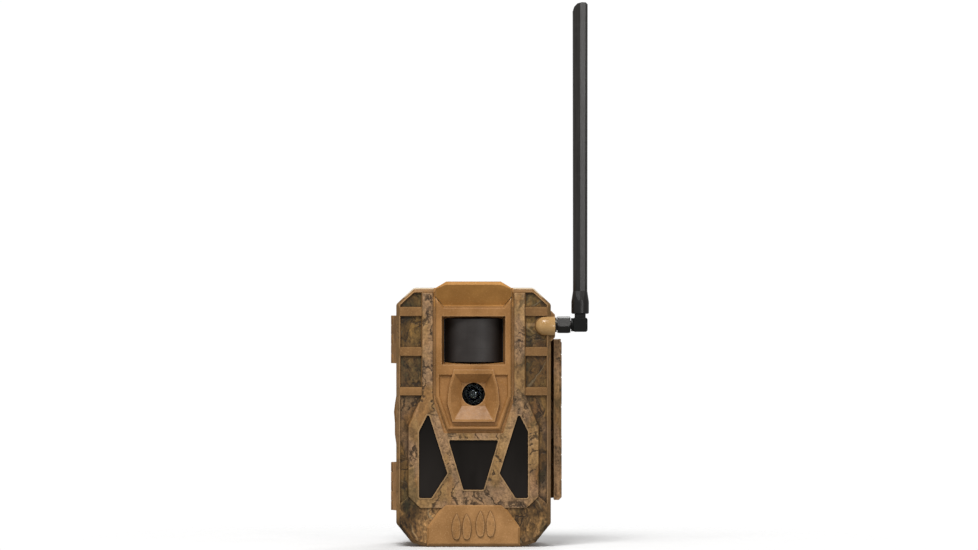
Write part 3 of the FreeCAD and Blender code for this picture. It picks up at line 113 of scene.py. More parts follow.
# ------------------------------------------------------------------ node graphs
class Graph:
    """One material's node tree. The methods that take values return an output socket."""

    def __init__(self, name):
        self.material = bpy.data.materials.new(name)
        self.material.use_nodes = True
        self.tree = self.material.node_tree
        self.shader = self.tree.nodes["Principled BSDF"]
        coordinates = self.node("ShaderNodeTexCoord")
        self.normal = coordinates.outputs["Normal"]
        self.mm = self.scaled(coordinates.outputs["Object"], 1000.0, 1000.0, 1000.0)

    def node(self, kind, **settings):
        made = self.tree.nodes.new(kind)
        for key, value in settings.items():
            setattr(made, key, value)
        return made

    def feed(self, socket, value):
        if isinstance(value, bpy.types.NodeSocket):
            self.tree.links.new(value, socket)
        else:
            socket.default_value = value

    def scaled(self, vector, x, y, z):
        made = self.node("ShaderNodeVectorMath", operation="MULTIPLY")
        self.feed(made.inputs[0], vector)
        made.inputs[1].default_value = (x, y, z)
        return made.outputs["Vector"]

    def moved(self, vector, x, y, z):
        made = self.node("ShaderNodeVectorMath", operation="ADD")
        self.feed(made.inputs[0], vector)
        made.inputs[1].default_value = (x, y, z)
        return made.outputs["Vector"]

    def added(self, first, second):
        made = self.node("ShaderNodeVectorMath", operation="ADD")
        self.feed(made.inputs[0], first)
        self.feed(made.inputs[1], second)
        return made.outputs["Vector"]

    def lit(self, colour, factor):
        """The colour made lighter or darker by a factor."""
        made = self.node("ShaderNodeVectorMath", operation="SCALE")
        self.feed(made.inputs[0], colour)
        self.feed(made.inputs["Scale"], factor)
        return made.outputs["Vector"]

    def axis(self, vector, name):
        made = self.node("ShaderNodeSeparateXYZ")
        self.feed(made.inputs[0], vector)
        return made.outputs[name]

    def xyz(self):
        """The three axes of the place, in millimetres."""
        return [self.axis(self.mm, name) for name in "XYZ"]

    def math(self, operation, first, second=0.0, third=0.0):
        made = self.node("ShaderNodeMath", operation=operation)
        for socket, value in zip(made.inputs, (first, second, third)):
            self.feed(socket, value)
        return made.outputs[0]

    def chain(self, operation, values):
        result = values[0]
        for value in values[1:]:
            result = self.math(operation, result, value)
        return result

    def times(self, *values):
        return self.chain("MULTIPLY", values)

    def plus(self, *values):
        return self.chain("ADD", values)

    def minus(self, *values):
        return self.chain("SUBTRACT", values)

    def largest(self, *values):
        return self.chain("MAXIMUM", values)

    def smallest(self, *values):
        return self.chain("MINIMUM", values)

    def size(self, value):
        return self.math("ABSOLUTE", value)

    def reach(self, across, along):
        """The length of a flat vector."""
        return self.math("SQRT", self.plus(self.times(across, across), self.times(along, along)))

    def rise(self, value, low, high):
        """0 below low and 1 above high, smoothly. With low above high it falls."""
        made = self.node("ShaderNodeMapRange", interpolation_type="SMOOTHSTEP")
        self.feed(made.inputs["Value"], value)
        made.inputs["From Min"].default_value = min(low, high)
        made.inputs["From Max"].default_value = max(low, high)
        made.inputs["To Min"].default_value = 0.0 if low < high else 1.0
        made.inputs["To Max"].default_value = 1.0 if low < high else 0.0
        return made.outputs["Result"]

    def above(self, value, limit):
        return self.math("GREATER_THAN", value, limit)

    def below(self, value, limit):
        return self.math("LESS_THAN", value, limit)

    def within(self, value, low, high):
        return self.times(self.above(value, low), self.below(value, high))

    def noise(self, vector, scale, detail=3.0, roughness=0.55, colour=False):
        made = self.node("ShaderNodeTexNoise")
        self.feed(made.inputs["Vector"], vector)
        made.inputs["Scale"].default_value = scale
        made.inputs["Detail"].default_value = detail
        made.inputs["Roughness"].default_value = roughness
        return made.outputs["Color" if colour else "Fac"]

    def patches(self, place, shift, stretch, scale, detail, roughness=0.55):
        """Noise of its own, because its place is shifted, then stretched."""
        shifted = self.scaled(self.moved(place, *shift), *stretch)
        return self.noise(shifted, scale, detail, roughness)

    def cells(self, vector, scale, distance="EUCLIDEAN"):
        """The distance to the nearest of scattered points."""
        made = self.node("ShaderNodeTexVoronoi", distance=distance, feature="F1")
        self.feed(made.inputs["Vector"], vector)
        made.inputs["Scale"].default_value = scale
        return made.outputs["Distance"]

    def blend(self, factor, first, second):
        """The first colour where factor is 0, the second where it is 1."""
        made = self.node("ShaderNodeMix", data_type="RGBA")
        self.feed(made.inputs[0], factor)
        self.feed(made.inputs[6], first)
        self.feed(made.inputs[7], second)
        return made.outputs[2]

    def ramp(self, value, *stops):
        made = self.node("ShaderNodeValToRGB")
        self.feed(made.inputs["Fac"], value)
        elements = made.color_ramp.elements
        while len(elements) < len(stops):
            elements.new(0.5)
        for element, (position, colour) in zip(elements, stops):
            element.position = position
            element.color = colour
        return made.outputs["Color"]

    def crevices(self, reach_mm, inside=False):
        """0 on open faces, rising in inner corners and grooves (on outer edges if inside)."""
        made = self.node("ShaderNodeAmbientOcclusion", samples=6, only_local=True, inside=inside)
        made.inputs["Distance"].default_value = reach_mm * MM
        return self.minus(1.0, made.outputs["AO"])

    def bump(self, height, depth_mm, strength=1.0, over=None):
        made = self.node("ShaderNodeBump")
        self.feed(made.inputs["Height"], height)
        made.inputs["Distance"].default_value = depth_mm * MM
        made.inputs["Strength"].default_value = strength
        if over is not None:
            self.feed(made.inputs["Normal"], over)
        return made.outputs["Normal"]

    def set(self, **inputs):
        for name, value in inputs.items():
            self.feed(self.shader.inputs[name.replace("_", " ")], value)
        return self.material


# ------------------------------------------------------------------ plastics
def grain(g, depth_mm=0.05, scale=2.6):
    """The fine spark-eroded texture of a moulded surface."""
    fine = g.noise(g.mm, scale, detail=2.0, roughness=0.6)
    return g.bump(fine, depth_mm, 0.5)


def tan_colour(g, base, dark, light):
    """Moulded tan with soft mottling, faint flow streaks and a leathery speckle."""
    cloud = g.noise(g.mm, 0.06, detail=4.0)
    colour = g.blend(g.rise(cloud, 0.35, 0.68), dark, base)
    streak = g.noise(g.scaled(g.mm, 0.9, 0.9, 0.06), 1.0, detail=3.0)
    colour = g.blend(g.times(g.rise(streak, 0.5, 0.8), 0.28), colour, dark)
    speck = g.noise(g.mm, 1.1, detail=3.0, roughness=0.75)
    colour = g.blend(g.times(g.rise(speck, 0.52, 0.70), 0.5), colour, light)
    return g.blend(g.times(g.rise(speck, 0.46, 0.32), 0.4), colour, dark)


def painted_crevice_shade_and_edge_highlight(g, colour, shade, shine, deep=0.7, worn=0.6):
    """Paints shade into the crevices of a moulding and a highlight on its outer edges; worn sets the
    highlight's strength.
    """
    colour = g.blend(g.times(g.rise(g.crevices(1.5), 0.12, 0.55), deep), colour, shade)
    return g.blend(g.times(g.rise(g.crevices(0.9, inside=True), 0.18, 0.5), worn), colour, shine)


def tan_plastic():
    """The sensor bezel's plain tan, a little darker on the sills that face up as painted shade, with
    painted shade in its crevices and painted highlights on its edges.
    """
    g = Graph("tan_plastic")
    colour = tan_colour(g, paint(172, 124, 73), paint(146, 102, 55), paint(198, 150, 98))
    # Painted shade on the faces that look up.
    upward_painted_shade = g.rise(g.axis(g.normal, "Z"), 0.3, 0.6)
    colour = g.lit(colour, g.minus(1.0, g.times(upward_painted_shade, 0.14)))
    # Painted shade in the crevices and painted highlights on the outer edges.
    colour = painted_crevice_shade_and_edge_highlight(g, colour, paint(104, 70, 34), paint(226, 184, 136), 0.4)
    rough = g.rise(g.noise(g.mm, 0.4), -0.5, 1.9)
    return g.set(Base_Color=colour, Roughness=rough, Normal=grain(g), Specular_IOR_Level=0.3)


def contour(g, field, width):
    """1 along the lines where a noise field crosses its middle value."""
    return g.rise(g.size(g.minus(field, 0.5)), width, width * 0.35)


def bark_print(g, light, mid, dark, wild=0.3):
    """A generic bark camouflage, as (colour, height): streaks, grit, fibres, cracks and pale twigs.

    wild runs from 0, smooth bark, to 1, brush with strong fibres and twigs.
    """
    drift = g.noise(g.mm, 0.05, detail=4.0, roughness=0.6, colour=True)
    drift = g.scaled(g.moved(drift, -0.5, -0.5, -0.5), 24.0, 24.0, 24.0)
    bent = g.added(g.mm, drift)
    calm = g.minus(1.0, wild)

    streaks = g.patches(bent, (31.0, 7.0, 12.0), (1.0, 1.0, 0.42), 0.075, 5.0, 0.62)
    colour = g.blend(g.rise(streaks, 0.36, 0.47), dark, mid)
    colour = g.blend(g.rise(streaks, 0.49, 0.60), colour, light)
    olive = g.patches(bent, (5.0, 90.0, 40.0), (1.0, 1.0, 0.5), 0.07, 4.0)
    colour = g.blend(g.times(g.rise(olive, 0.51, 0.63), 0.6), colour, paint(62, 56, 31))
    ochre = g.patches(bent, (70.0, 20.0, 9.0), (1.0, 1.0, 0.5), 0.08, 3.0)
    warmth = g.plus(0.15, g.times(calm, 0.35))
    colour = g.blend(g.times(g.rise(ochre, 0.53, 0.66), warmth), colour, paint(150, 104, 56))

    fibre_place = g.scaled(g.added(g.mm, g.scaled(drift, 0.6, 0.6, 0.5)), 1.0, 1.0, 0.22)
    fibres = g.noise(fibre_place, 0.55, detail=5.0, roughness=0.7)
    grit = g.noise(g.mm, 0.62, detail=3.0, roughness=0.8)
    patch = g.rise(g.patches(g.mm, (17.0, 33.0, 58.0), (1.0, 1.0, 0.5), 0.06, 2.0), 0.46, 0.58)
    colour = g.blend(g.times(patch, calm, 0.4), colour, paint(158, 126, 102))
    fibre_swing = g.times(g.minus(fibres, 0.5), g.plus(1.7, g.times(wild, 2.2)))
    grit_swing = g.times(g.minus(grit, 0.5), g.plus(1.7, g.times(patch, 1.3)))
    swing = g.plus(1.0, g.plus(fibre_swing, grit_swing))
    colour = g.lit(colour, g.largest(0.25, swing))

    broken = g.rise(g.noise(g.moved(g.mm, 3.0, 3.0, 77.0), 0.055, detail=3.0), 0.42, 0.54)
    upright = g.patches(bent, (52.0, 8.0, 30.0), (1.0, 1.0, 0.30), 0.055, 5.0)
    level = g.patches(bent, (14.0, 61.0, 5.0), (0.35, 1.0, 1.0), 0.045, 5.0)
    cracks = g.largest(g.times(contour(g, upright, 0.020), broken),
                       g.times(contour(g, level, 0.018), g.minus(1.0, broken)))
    colour = g.blend(g.times(cracks, 0.82), colour, paint(40, 28, 15))

    branch = g.added(g.mm, g.scaled(drift, 0.3, 0.3, 0.3))
    branch = g.scaled(g.moved(branch, 44.0, 15.0, 63.0), 1.0, 1.0, 0.7)
    some = g.rise(g.noise(g.moved(g.mm, 9.0, 50.0, 21.0), 0.05), 0.46, 0.54)
    shadow = contour(g, g.noise(g.moved(branch, 0.9, 0.0, 0.6), 0.045, detail=1.5), 0.024)
    twig = contour(g, g.noise(branch, 0.045, detail=1.5), 0.011)
    twiggy = g.times(some, g.plus(0.08, g.times(wild, 0.48)))
    colour = g.blend(g.times(shadow, twiggy), colour, paint(36, 27, 15))
    colour = g.blend(g.times(twig, twiggy, 0.7), colour, paint(150, 132, 100))

    height = g.minus(g.times(g.plus(fibres, grit), 0.5), g.times(cracks, 0.7))
    return colour, height


def inner_plastic(g, colour, low_y, high_y):
    """Leaves the shell's inside and its mating rim as plain brown plastic, without the print."""
    x, y, z = g.xyz()
    from_side = g.minus(SHELL_HALF, g.size(x))
    foot = g.plus(g.times(g.minus(FOOT_HALF, g.size(x)), FOOT_SLOPE[0]),
                  g.times(g.minus(z, FOOT_BEVEL_Z), FOOT_SLOPE[1]))
    shoulder = g.plus(g.times(from_side, SHOULDER_SLOPE[0]),
                      g.times(g.minus(SHOULDER_BEVEL_Z, z), SHOULDER_SLOPE[1]))
    depth = g.smallest(from_side, z, g.minus(SHOULDER_Z, z), foot, shoulder)
    inside = g.times(g.above(depth, PRINT_WALL), g.within(y, low_y, high_y))
    facing = g.above(g.size(g.axis(g.normal, "Y")), FLAT)
    rim = g.times(facing, g.below(g.size(g.minus(y, SPLIT_Y)), SPLIT_REACH))
    plain = tan_colour(g, paint(92, 70, 44), paint(76, 57, 34), paint(112, 87, 58))
    return g.blend(g.largest(inside, rim), colour, plain)


def bark_plastic(name, light, mid, dark, tan_left_of=-1000.0):
    """Bark print all over, with plain tan beyond tan_left_of (in millimetres of X)."""
    g = Graph(name)
    colour, height = bark_print(g, paint(*light), paint(*mid), paint(*dark))
    x, y, _ = g.xyz()
    plain = tan_colour(g, paint(154, 112, 64), paint(126, 89, 47), paint(180, 137, 88))
    colour = g.blend(g.below(x, tan_left_of), colour, plain)
    colour = inner_plastic(g, colour, SPLIT_Y, INNER_BACK_Y)
    # Painted shade in the crevices and painted highlights on the outer edges.
    colour = painted_crevice_shade_and_edge_highlight(g, colour, paint(44, 29, 13), paint(190, 154, 110))
    # The ledge beside the latch: plain tan painted lighter than its own dark brown, as painted light
    # against the shade in its gap, laid over the painted crevice shade there.
    ledge = g.times(g.within(x, SHELL_HALF + 0.05, LEDGE_OUT), g.below(y, LEDGE_BACK_Y))
    ledge_tan_painted_lighter = g.blend(g.noise(g.mm, 0.5), paint(120, 82, 42), paint(102, 68, 34))
    colour = g.blend(ledge, colour, ledge_tan_painted_lighter)
    rough = g.rise(g.noise(g.mm, 0.5), -0.7, 1.5)
    relief = g.bump(height, 0.22, 0.8, grain(g))
    return g.set(Base_Color=colour, Roughness=rough, Normal=relief, Specular_IOR_Level=0.2)


def cover_zones(g):
    """1 where the front cover is plain tan: brow, ribs, window groove, pad, boss and knuckles."""
    x, y, z = g.xyz()
    side = g.size(x)
    before_face = g.below(y, FACE_Y - 0.05)
    face = g.times(g.above(z, RIB_ZONE_Z), g.within(y, FACE_Y - 0.15, FACE_Y + 0.1))
    slope = g.above(g.axis(g.normal, "Y"), -FLAT)
    walls = g.times(slope, g.above(z, RIB_ZONE_Z), g.below(side, RIM_IN + 0.05),
                    g.within(y, FACE_Y - 0.05, FACE_Y + 1.35))
    brow = g.times(g.above(z, BROW_Z), g.below(side, BROW_HALF), g.below(y, FACE_Y + 3))
    groove = g.times(g.above(z, GROOVE_FOOT_Z), g.below(side, BROW_HALF - 0.1),
                     g.within(y, FIELD_Y + 0.1, FACE_Y + 3.5))
    pad = g.times(g.below(z, PAD_TOP_Z), g.below(y, FIELD_Y - 0.1))
    pad_side = g.times(g.below(z, PAD_SIDE_TOP_Z), before_face)
    boss = g.times(g.above(x, BOSS_IN), before_face, g.within(z, *BOSS_Z))
    flare = g.times(g.above(x, SHELL_HALF + 0.05), g.above(z, NECK_Z))
    knuckles = g.below(x, -SHELL_HALF - 0.05)
    return g.largest(face, walls, brow, groove, pad, pad_side, boss, flare, knuckles)


def cover_print(g):
    """The cover's bark print, as (colour, height), with tones of its own for each zone."""
    x, y, z = g.xyz()
    off_field = g.rise(y, FIELD_Y + 0.2, FACE_Y - 0.1)
    pocket = g.times(g.below(y, FACE_Y + 1.45), g.below(g.size(x), RIM_IN))
    sunk = g.times(g.rise(y, FACE_Y + 0.3, FACE_Y + 1.0), pocket)
    small = g.times(sunk, g.rise(z, RIB_ZONE_Z - 3.0, RIB_ZONE_Z + 3.0))
    low = g.times(off_field, g.rise(z, 36.0, 22.0))
    field_tones = [(170, 134, 88), (150, 116, 72), (112, 84, 50)]
    zones = (
        (off_field, [(142, 108, 64), (114, 84, 48), (78, 57, 31)]),
        (sunk, [(136, 103, 55), (102, 75, 38), (58, 42, 19)]),
        (small, [(112, 85, 42), (82, 60, 28), (42, 30, 13)]),
        (low, [(138, 104, 62), (96, 70, 37), (29, 20, 10)]),
    )
    tones = [paint(*tone) for tone in field_tones]
    for zone, colours in zones:
        tones = [g.blend(zone, tone, paint(*colour)) for tone, colour in zip(tones, colours)]
    wild = g.largest(g.times(small, 0.9), g.times(sunk, 0.5), g.times(low, 0.85))
    colour, height = bark_print(g, *tones, wild)
    blotch = g.rise(g.patches(g.mm, (8.0, 3.0, 19.0), (1.0, 1.0, 0.7), 0.12, 3.0), 0.43, 0.57)
    swing = g.math("MULTIPLY_ADD", g.minus(blotch, 0.42), low, 1.0)
    return g.lit(colour, swing), height


def cover_tan(g):
    """The cover's plain tan, darker on the ribs, and lighter on the boss as a painted highlight."""
    x, y, z = g.xyz()
    ribs = g.times(g.above(z, RIB_ZONE_Z), g.above(y, FACE_Y - 0.15))
    brow = g.times(g.above(z, BROW_Z), g.below(g.size(x), BROW_HALF))
    boss = g.times(g.above(x, BOSS_IN), g.below(y, FACE_Y - 0.05))
    plain = tan_colour(g, paint(180, 133, 82), paint(152, 109, 61), paint(206, 160, 110))
    for zone, base, dark, light in (
        (ribs, (152, 111, 65), (122, 87, 47), (176, 134, 86)),
        (brow, (186, 133, 68), (164, 114, 54), (204, 152, 88)),
        # The boss's lighter tan is a painted highlight.
        (boss, (184, 147, 96), (166, 127, 78), (204, 168, 118)),
    ):
        plain = g.blend(zone, plain, tan_colour(g, paint(*base), paint(*dark), paint(*light)))
    return g.blend(g.times(ribs, g.rise(x, 20.0, BOSS_IN), 0.3), plain, paint(84, 60, 30))


def cover_plastic():
    """The front cover's finish: bark print in the sunk panels and on the raised field, tan elsewhere,
    with painted shade in its crevices and painted highlights on its edges, rims, lips and boss.
    """
    g = Graph("cover_camouflage")
    x, y, z = g.xyz()
    colour, height = cover_print(g)
    slope = g.above(g.axis(g.normal, "Y"), -FLAT)
    edges = g.largest(g.above(g.size(x), RIM_IN + 0.1), g.above(z, 140.0), g.below(z, 3.0))
    rims = g.times(slope, g.within(y, FACE_Y - 0.05, FACE_Y + 2.05), edges)
    # The rims take a lighter tan tint, with a painted highlight that grows pale towards the top.
    painted_top_highlight = g.rise(z, 136.0, 143.0)
    rim_tint_and_painted_highlight = g.blend(painted_top_highlight, paint(134, 102, 64), paint(212, 194, 166))
    colour = g.blend(g.times(rims, g.plus(0.6, g.times(painted_top_highlight, 0.25))), colour, rim_tint_and_painted_highlight)
    # Painted highlight: the raised lips in front of the field are tinted lighter.
    lip_painted_highlight = g.times(g.below(y, FIELD_Y - 0.06), g.within(z, PAD_TOP_Z, LIP_TOP_Z))
    colour = g.blend(g.times(lip_painted_highlight, 0.45), colour, paint(160, 128, 88))

    mask = cover_zones(g)
    colour = inner_plastic(g, g.blend(mask, colour, cover_tan(g)), INNER_FRONT_Y, SPLIT_Y)
    # Painted shade in the crevices and painted highlights on the outer edges.
    colour = painted_crevice_shade_and_edge_highlight(g, colour, paint(54, 35, 15), paint(206, 166, 120), 0.7, 0.38)
    emblem = g.times(g.below(y, FACE_Y - 1.64), g.below(z, EMBLEM_TOP_Z))
    worn = g.rise(g.noise(g.mm, 0.5, detail=4.0), 0.5, 0.66)
    shaded = g.largest(g.times(emblem, slope), g.times(emblem, worn, 0.4))
    colour = g.blend(g.times(shaded, 0.7), colour, paint(84, 58, 30))
    relief = g.bump(g.times(height, g.minus(1.0, mask)), 0.24, 0.85, grain(g))
    rough = g.rise(g.noise(g.mm, 0.5), -0.7, 1.5)
    glossy = g.times(g.above(x, BOSS_IN - 1.0), g.below(y, FACE_Y - 0.3), g.within(z, NECK_Z, 132.0))
    rough = g.minus(rough, g.times(glossy, 0.4))
    return g.set(Base_Color=colour, Roughness=rough, Normal=relief, Specular_IOR_Level=0.3)


def plain_plastic(name, colour, roughness=0.5, mottling=0.35, grain_mm=0.04):
    """Dark or grey moulded plastic: slight mottling, fine grain and uneven gloss."""
    g = Graph(name)
    base = paint(*colour)
    lighter = tuple(min(1.0, c * 1.9 + 0.004) for c in base[:3]) + (1.0,)
    cloud = g.rise(g.noise(g.mm, 0.35, detail=5.0, roughness=0.65), 0.45, 0.75)
    shade = g.blend(g.times(cloud, mottling), base, lighter)
    wear = g.rise(g.noise(g.mm, 1.3, detail=4.0), 0.2, 0.9)
    rough = g.plus(roughness - 0.08, g.times(wear, 0.16))
    fine = grain(g, grain_mm, 3.2)
    return g.set(Base_Color=shade, Roughness=rough, Normal=fine, Specular_IOR_Level=0.25)


def metal(name, colour, roughness):
    """Metal with fine directional scratches and slight tarnish."""
    g = Graph(name)
    base = paint(*colour)
    dull = tuple(c * 0.6 for c in base[:3]) + (1.0,)
    tarnish = g.rise(g.noise(g.mm, 0.8, detail=4.0), 0.45, 0.8)
    scratch = g.noise(g.scaled(g.mm, 0.1, 0.1, 2.0), 6.0, detail=3.0)
    rough = g.plus(roughness - 0.1, g.times(scratch, 0.25))
    shade = g.blend(g.times(tarnish, 0.5), base, dull)
    return g.set(Base_Color=shade, Metallic=1.0, Roughness=rough, Normal=g.bump(scratch, 0.01, 0.4))


def rubber(name, colour):
    """Matt rubber with dust in its grain."""
    g = Graph(name)
    dust = g.rise(g.noise(g.mm, 0.7, detail=6.0, roughness=0.7), 0.5, 0.8)
    shade = g.blend(g.times(dust, 0.3), paint(*colour), paint(70, 66, 60))
    return g.set(Base_Color=shade, Roughness=0.85, Normal=grain(g, 0.05, 2.0))


def smoked_window():
    """Infrared-pass acrylic: almost black with a faint brown depth, glossy, with a painted reflection
    that lightens it in patches towards the bottom.
    """
    g = Graph("smoked_acrylic")
    z = g.axis(g.mm, "Z")
    # Painted reflection: the window turns lighter towards its bottom, in patches.
    reflection_patches = g.noise(g.scaled(g.mm, 0.05, 0.05, 0.02), 1.0, detail=3.0)
    painted_low_reflection = g.times(g.rise(z, 80.0, 28.0), g.rise(reflection_patches, 0.2, 0.8))
    shade = g.blend(painted_low_reflection, paint(20, 17, 14), paint(42, 38, 35))
    rough = g.plus(0.24, g.times(g.noise(g.mm, 0.3, detail=4.0), 0.14))
    waves = g.bump(g.noise(g.mm, 0.12, detail=1.0), 0.05, 0.4)
    return g.set(Base_Color=shade, Roughness=rough, Normal=waves, Specular_IOR_Level=0.12)


def fresnel_lens():
    """Milky dark polythene with moulded lens rings in a grid of segments, with painted shade where it
    curves back at its sides.
    """
    g = Graph("fresnel_window")
    low, high = (Vector(corner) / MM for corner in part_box("pir_lens"))
    x, y, z = g.xyz()
    columns, rows, ring = 5, 3, 0.22
    width, height = (high.x - low.x) / columns, (high.z - low.z) / rows
    u = g.math("PINGPONG", g.minus(x, low.x), width / 2)
    v = g.math("PINGPONG", g.minus(z, low.z), height / 2)
    rings = g.math("PINGPONG", g.reach(g.minus(width / 2, u), g.minus(height / 2, v)), ring)
    seams = g.largest(g.rise(u, ring, 0.05), g.rise(v, ring, 0.05))
    cloud = g.noise(g.mm, 0.09, detail=4.0)
    shade = g.blend(g.rise(cloud, 0.3, 0.75), paint(50, 46, 44), paint(60, 56, 54))
    shade = g.blend(g.times(seams, 0.16), shade, paint(32, 29, 27))
    # Painted shade where the lens curves back at its sides.
    painted_edge_shade = g.rise(y, low.y + 1.5, low.y + 6.0)
    shade = g.blend(g.times(painted_edge_shade, 0.85), shade, paint(8, 6, 6))
    relief = g.bump(g.minus(g.times(rings, 1.2), g.times(seams, 0.6)), 0.05, 0.35)
    return g.set(Base_Color=shade, Roughness=0.42, Normal=relief, Specular_IOR_Level=0.25)


def clear_glass(name, tint, bend=1.5):
    """Clear glass with faint smears."""
    g = Graph(name)
    smear = g.rise(g.noise(g.mm, 0.35, detail=4.0), 0.62, 0.9)
    colour = g.blend(g.times(smear, 0.2), paint(*tint), (0.4, 0.4, 0.4, 1.0))
    return g.set(Base_Color=colour, Roughness=0.0, IOR=bend, Transmission_Weight=1.0)


def coated_element():
    """The camera lens: dark glass with a painted highlight in a dark ring at its centre, and the
    coating's green and violet reflections painted in around it.
    """
    g = Graph("coated_lens")
    centre, radius = middle("lens_elements") / MM, 3.4
    x, _, z = g.xyz()
    reach = g.reach(g.minus(x, centre.x), g.minus(z, centre.z))
    ripple = g.noise(g.mm, 0.4, detail=2.0)
    # The bright centre is a painted highlight, ringed dark; the green and violet rings are painted
    # coating reflections.
    shade = g.ramp(g.math("DIVIDE", g.plus(reach, g.times(ripple, 0.3)), radius),
                   (0.0, paint(150, 156, 148)), (0.17, paint(96, 102, 94)), (0.20, paint(7, 9, 8)),
                   (0.30, paint(8, 10, 9)), (0.38, paint(46, 50, 43)), (0.76, paint(50, 55, 47)),
                   (0.92, paint(18, 22, 46)))
    return g.set(Base_Color=shade, Roughness=0.06, Coat_Weight=0.5, Coat_Roughness=0.02,
                 Specular_IOR_Level=0.5)


def circuit_board():
    """Green solder mask over copper tracks, with plated dots."""
    g = Graph("circuit_board")
    place = g.scaled(g.mm, 1.0, 0.0, 1.0)
    maze = g.cells(place, 0.42, "MANHATTAN")
    tracks = g.rise(g.math("PINGPONG", maze, 0.16), 0.06, 0.10)
    shade = g.blend(tracks, paint(14, 62, 34), paint(28, 92, 50))
    pads = g.rise(g.cells(place, 0.75), 0.16, 0.12)
    shade = g.blend(g.times(pads, 0.8), shade, paint(196, 178, 120))
    return g.set(Base_Color=shade, Roughness=0.35, Normal=g.bump(tracks, 0.03, 0.4))


def cell_sleeve():
    """A plain shrink sleeve: dark blue body with a pale band, wrinkled at the ends."""
    g = Graph("cell_sleeve")
    z = g.axis(g.mm, "Z")
    low, high = (corner[2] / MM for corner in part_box("battery_cells"))
    along = g.math("PINGPONG", g.minus(z, low), (high - low) / 2)
    band = g.within(along, 9.0, 16.0)
    crease = g.noise(g.scaled(g.mm, 0.8, 0.8, 0.1), 1.0, detail=4.0)
    shade = g.blend(band, paint(24, 44, 70), paint(176, 182, 184))
    shade = g.blend(g.times(g.rise(crease, 0.5, 0.8), 0.3), shade, paint(60, 74, 92))
    ends = g.above(g.size(g.axis(g.normal, "Z")), 0.8)
    shade = g.blend(ends, shade, paint(196, 194, 188))
    metallic = g.plus(0.2, g.times(ends, 0.8))
    return g.set(Base_Color=shade, Roughness=0.28, Metallic=metallic, Normal=g.bump(crease, 0.05, 0.3))


def screen_face():
    """A switched-off display: dark glass with a faint pixel mesh."""
    g = Graph("screen_face")
    x, _, z = g.xyz()
    lines = g.largest(*(g.rise(g.math("PINGPONG", axis, 0.25), 0.06, 0.02) for axis in (x, z)))
    shade = g.blend(g.times(lines, 0.5), paint(16, 18, 22), paint(28, 31, 36))
    rough = g.times(g.rise(g.noise(g.mm, 0.2, detail=4.0), 0.3, 0.9), 0.18)
    return g.set(Base_Color=shade, Roughness=rough, Coat_Weight=0.5)


def lamp_resin():
    """Clear infrared lamp resin with the dark chip and lead frame showing through."""
    g = Graph("lamp_resin")
    frame_depth = g.rise(g.axis(g.mm, "Y"), -25.0, -22.0)
    cloud = g.noise(g.mm, 0.8, detail=3.0)
    shade = g.blend(frame_depth, paint(120, 112, 128), paint(150, 146, 140))
    shade = g.blend(g.times(g.rise(cloud, 0.4, 0.8), 0.4), shade, paint(70, 62, 80))
    return g.set(Base_Color=shade, Roughness=0.08, Coat_Weight=0.6, Normal=g.bump(cloud, 0.02, 0.2))


def sheath_plastic():
    """The antenna's black moulding, satin with fine lengthwise draw marks and dust, and painted shade
    towards its foot.
    """
    g = Graph("antenna_sheath")
    draw = g.noise(g.scaled(g.mm, 2.2, 2.2, 0.03), 1.0, detail=4.0)
    dust = g.rise(g.noise(g.mm, 0.25, detail=6.0, roughness=0.7), 0.5, 0.8)
    shade = g.blend(g.rise(draw, 0.3, 0.8), paint(30, 28, 26), paint(48, 45, 42))
    shade = g.blend(g.times(dust, 0.2), shade, paint(80, 75, 70))
    # Painted shade, darkening the antenna towards its foot.
    foot = g.rise(g.axis(g.mm, "Z"), 158.0, 134.0)
    shade = g.blend(g.times(foot, 0.7), shade, paint(14, 13, 12))
    rough = g.plus(0.26, g.times(draw, 0.14))
    marks = g.bump(draw, 0.03, 0.3, grain(g, 0.02))
    return g.set(Base_Color=shade, Roughness=rough, Normal=marks, Specular_IOR_Level=0.45)


# ------------------------------------------------------------------ pieces
def soften(node, width_mm):
    """Rounds the moulded edges of a CAD node."""
    thing = NODES[node]
    weld = thing.modifiers.new("weld", "WELD")
    weld.merge_threshold = SAME_POINT
    bevel = thing.modifiers.new("edge", "BEVEL")
    bevel.width = width_mm * MM
    bevel.segments = 2
    bevel.limit_method = "ANGLE"
    bevel.angle_limit = math.radians(32.0)
    bevel.harden_normals = True
    bevel.miter_outer = "MITER_ARC"


def new_piece(name, mesh, body, material):
    """A piece that rides a body, with one material."""
    thing = bpy.data.objects.new(name, mesh)
    bpy.context.scene.collection.objects.link(thing)
    mesh.materials.append(material)
    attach(thing, body)
    return thing


def islands(node):
    """The separate solids of a CAD node, each as its list of vertices."""
    shape = bmesh.new()
    shape.from_mesh(NODES[node].data)
    bmesh.ops.remove_doubles(shape, verts=shape.verts, dist=SAME_POINT)
    found, seen = [], set()
    for start in shape.verts:
        if start in seen:
            continue
        group, edge = [], [start]
        seen.add(start)
        while edge:
            vertex = edge.pop()
            group.append(vertex.co.copy())
            for link in vertex.link_edges:
                other = link.other_vert(vertex)
                if other not in seen:
                    seen.add(other)
                    edge.append(other)
        found.append(group)
    shape.free()
    return found


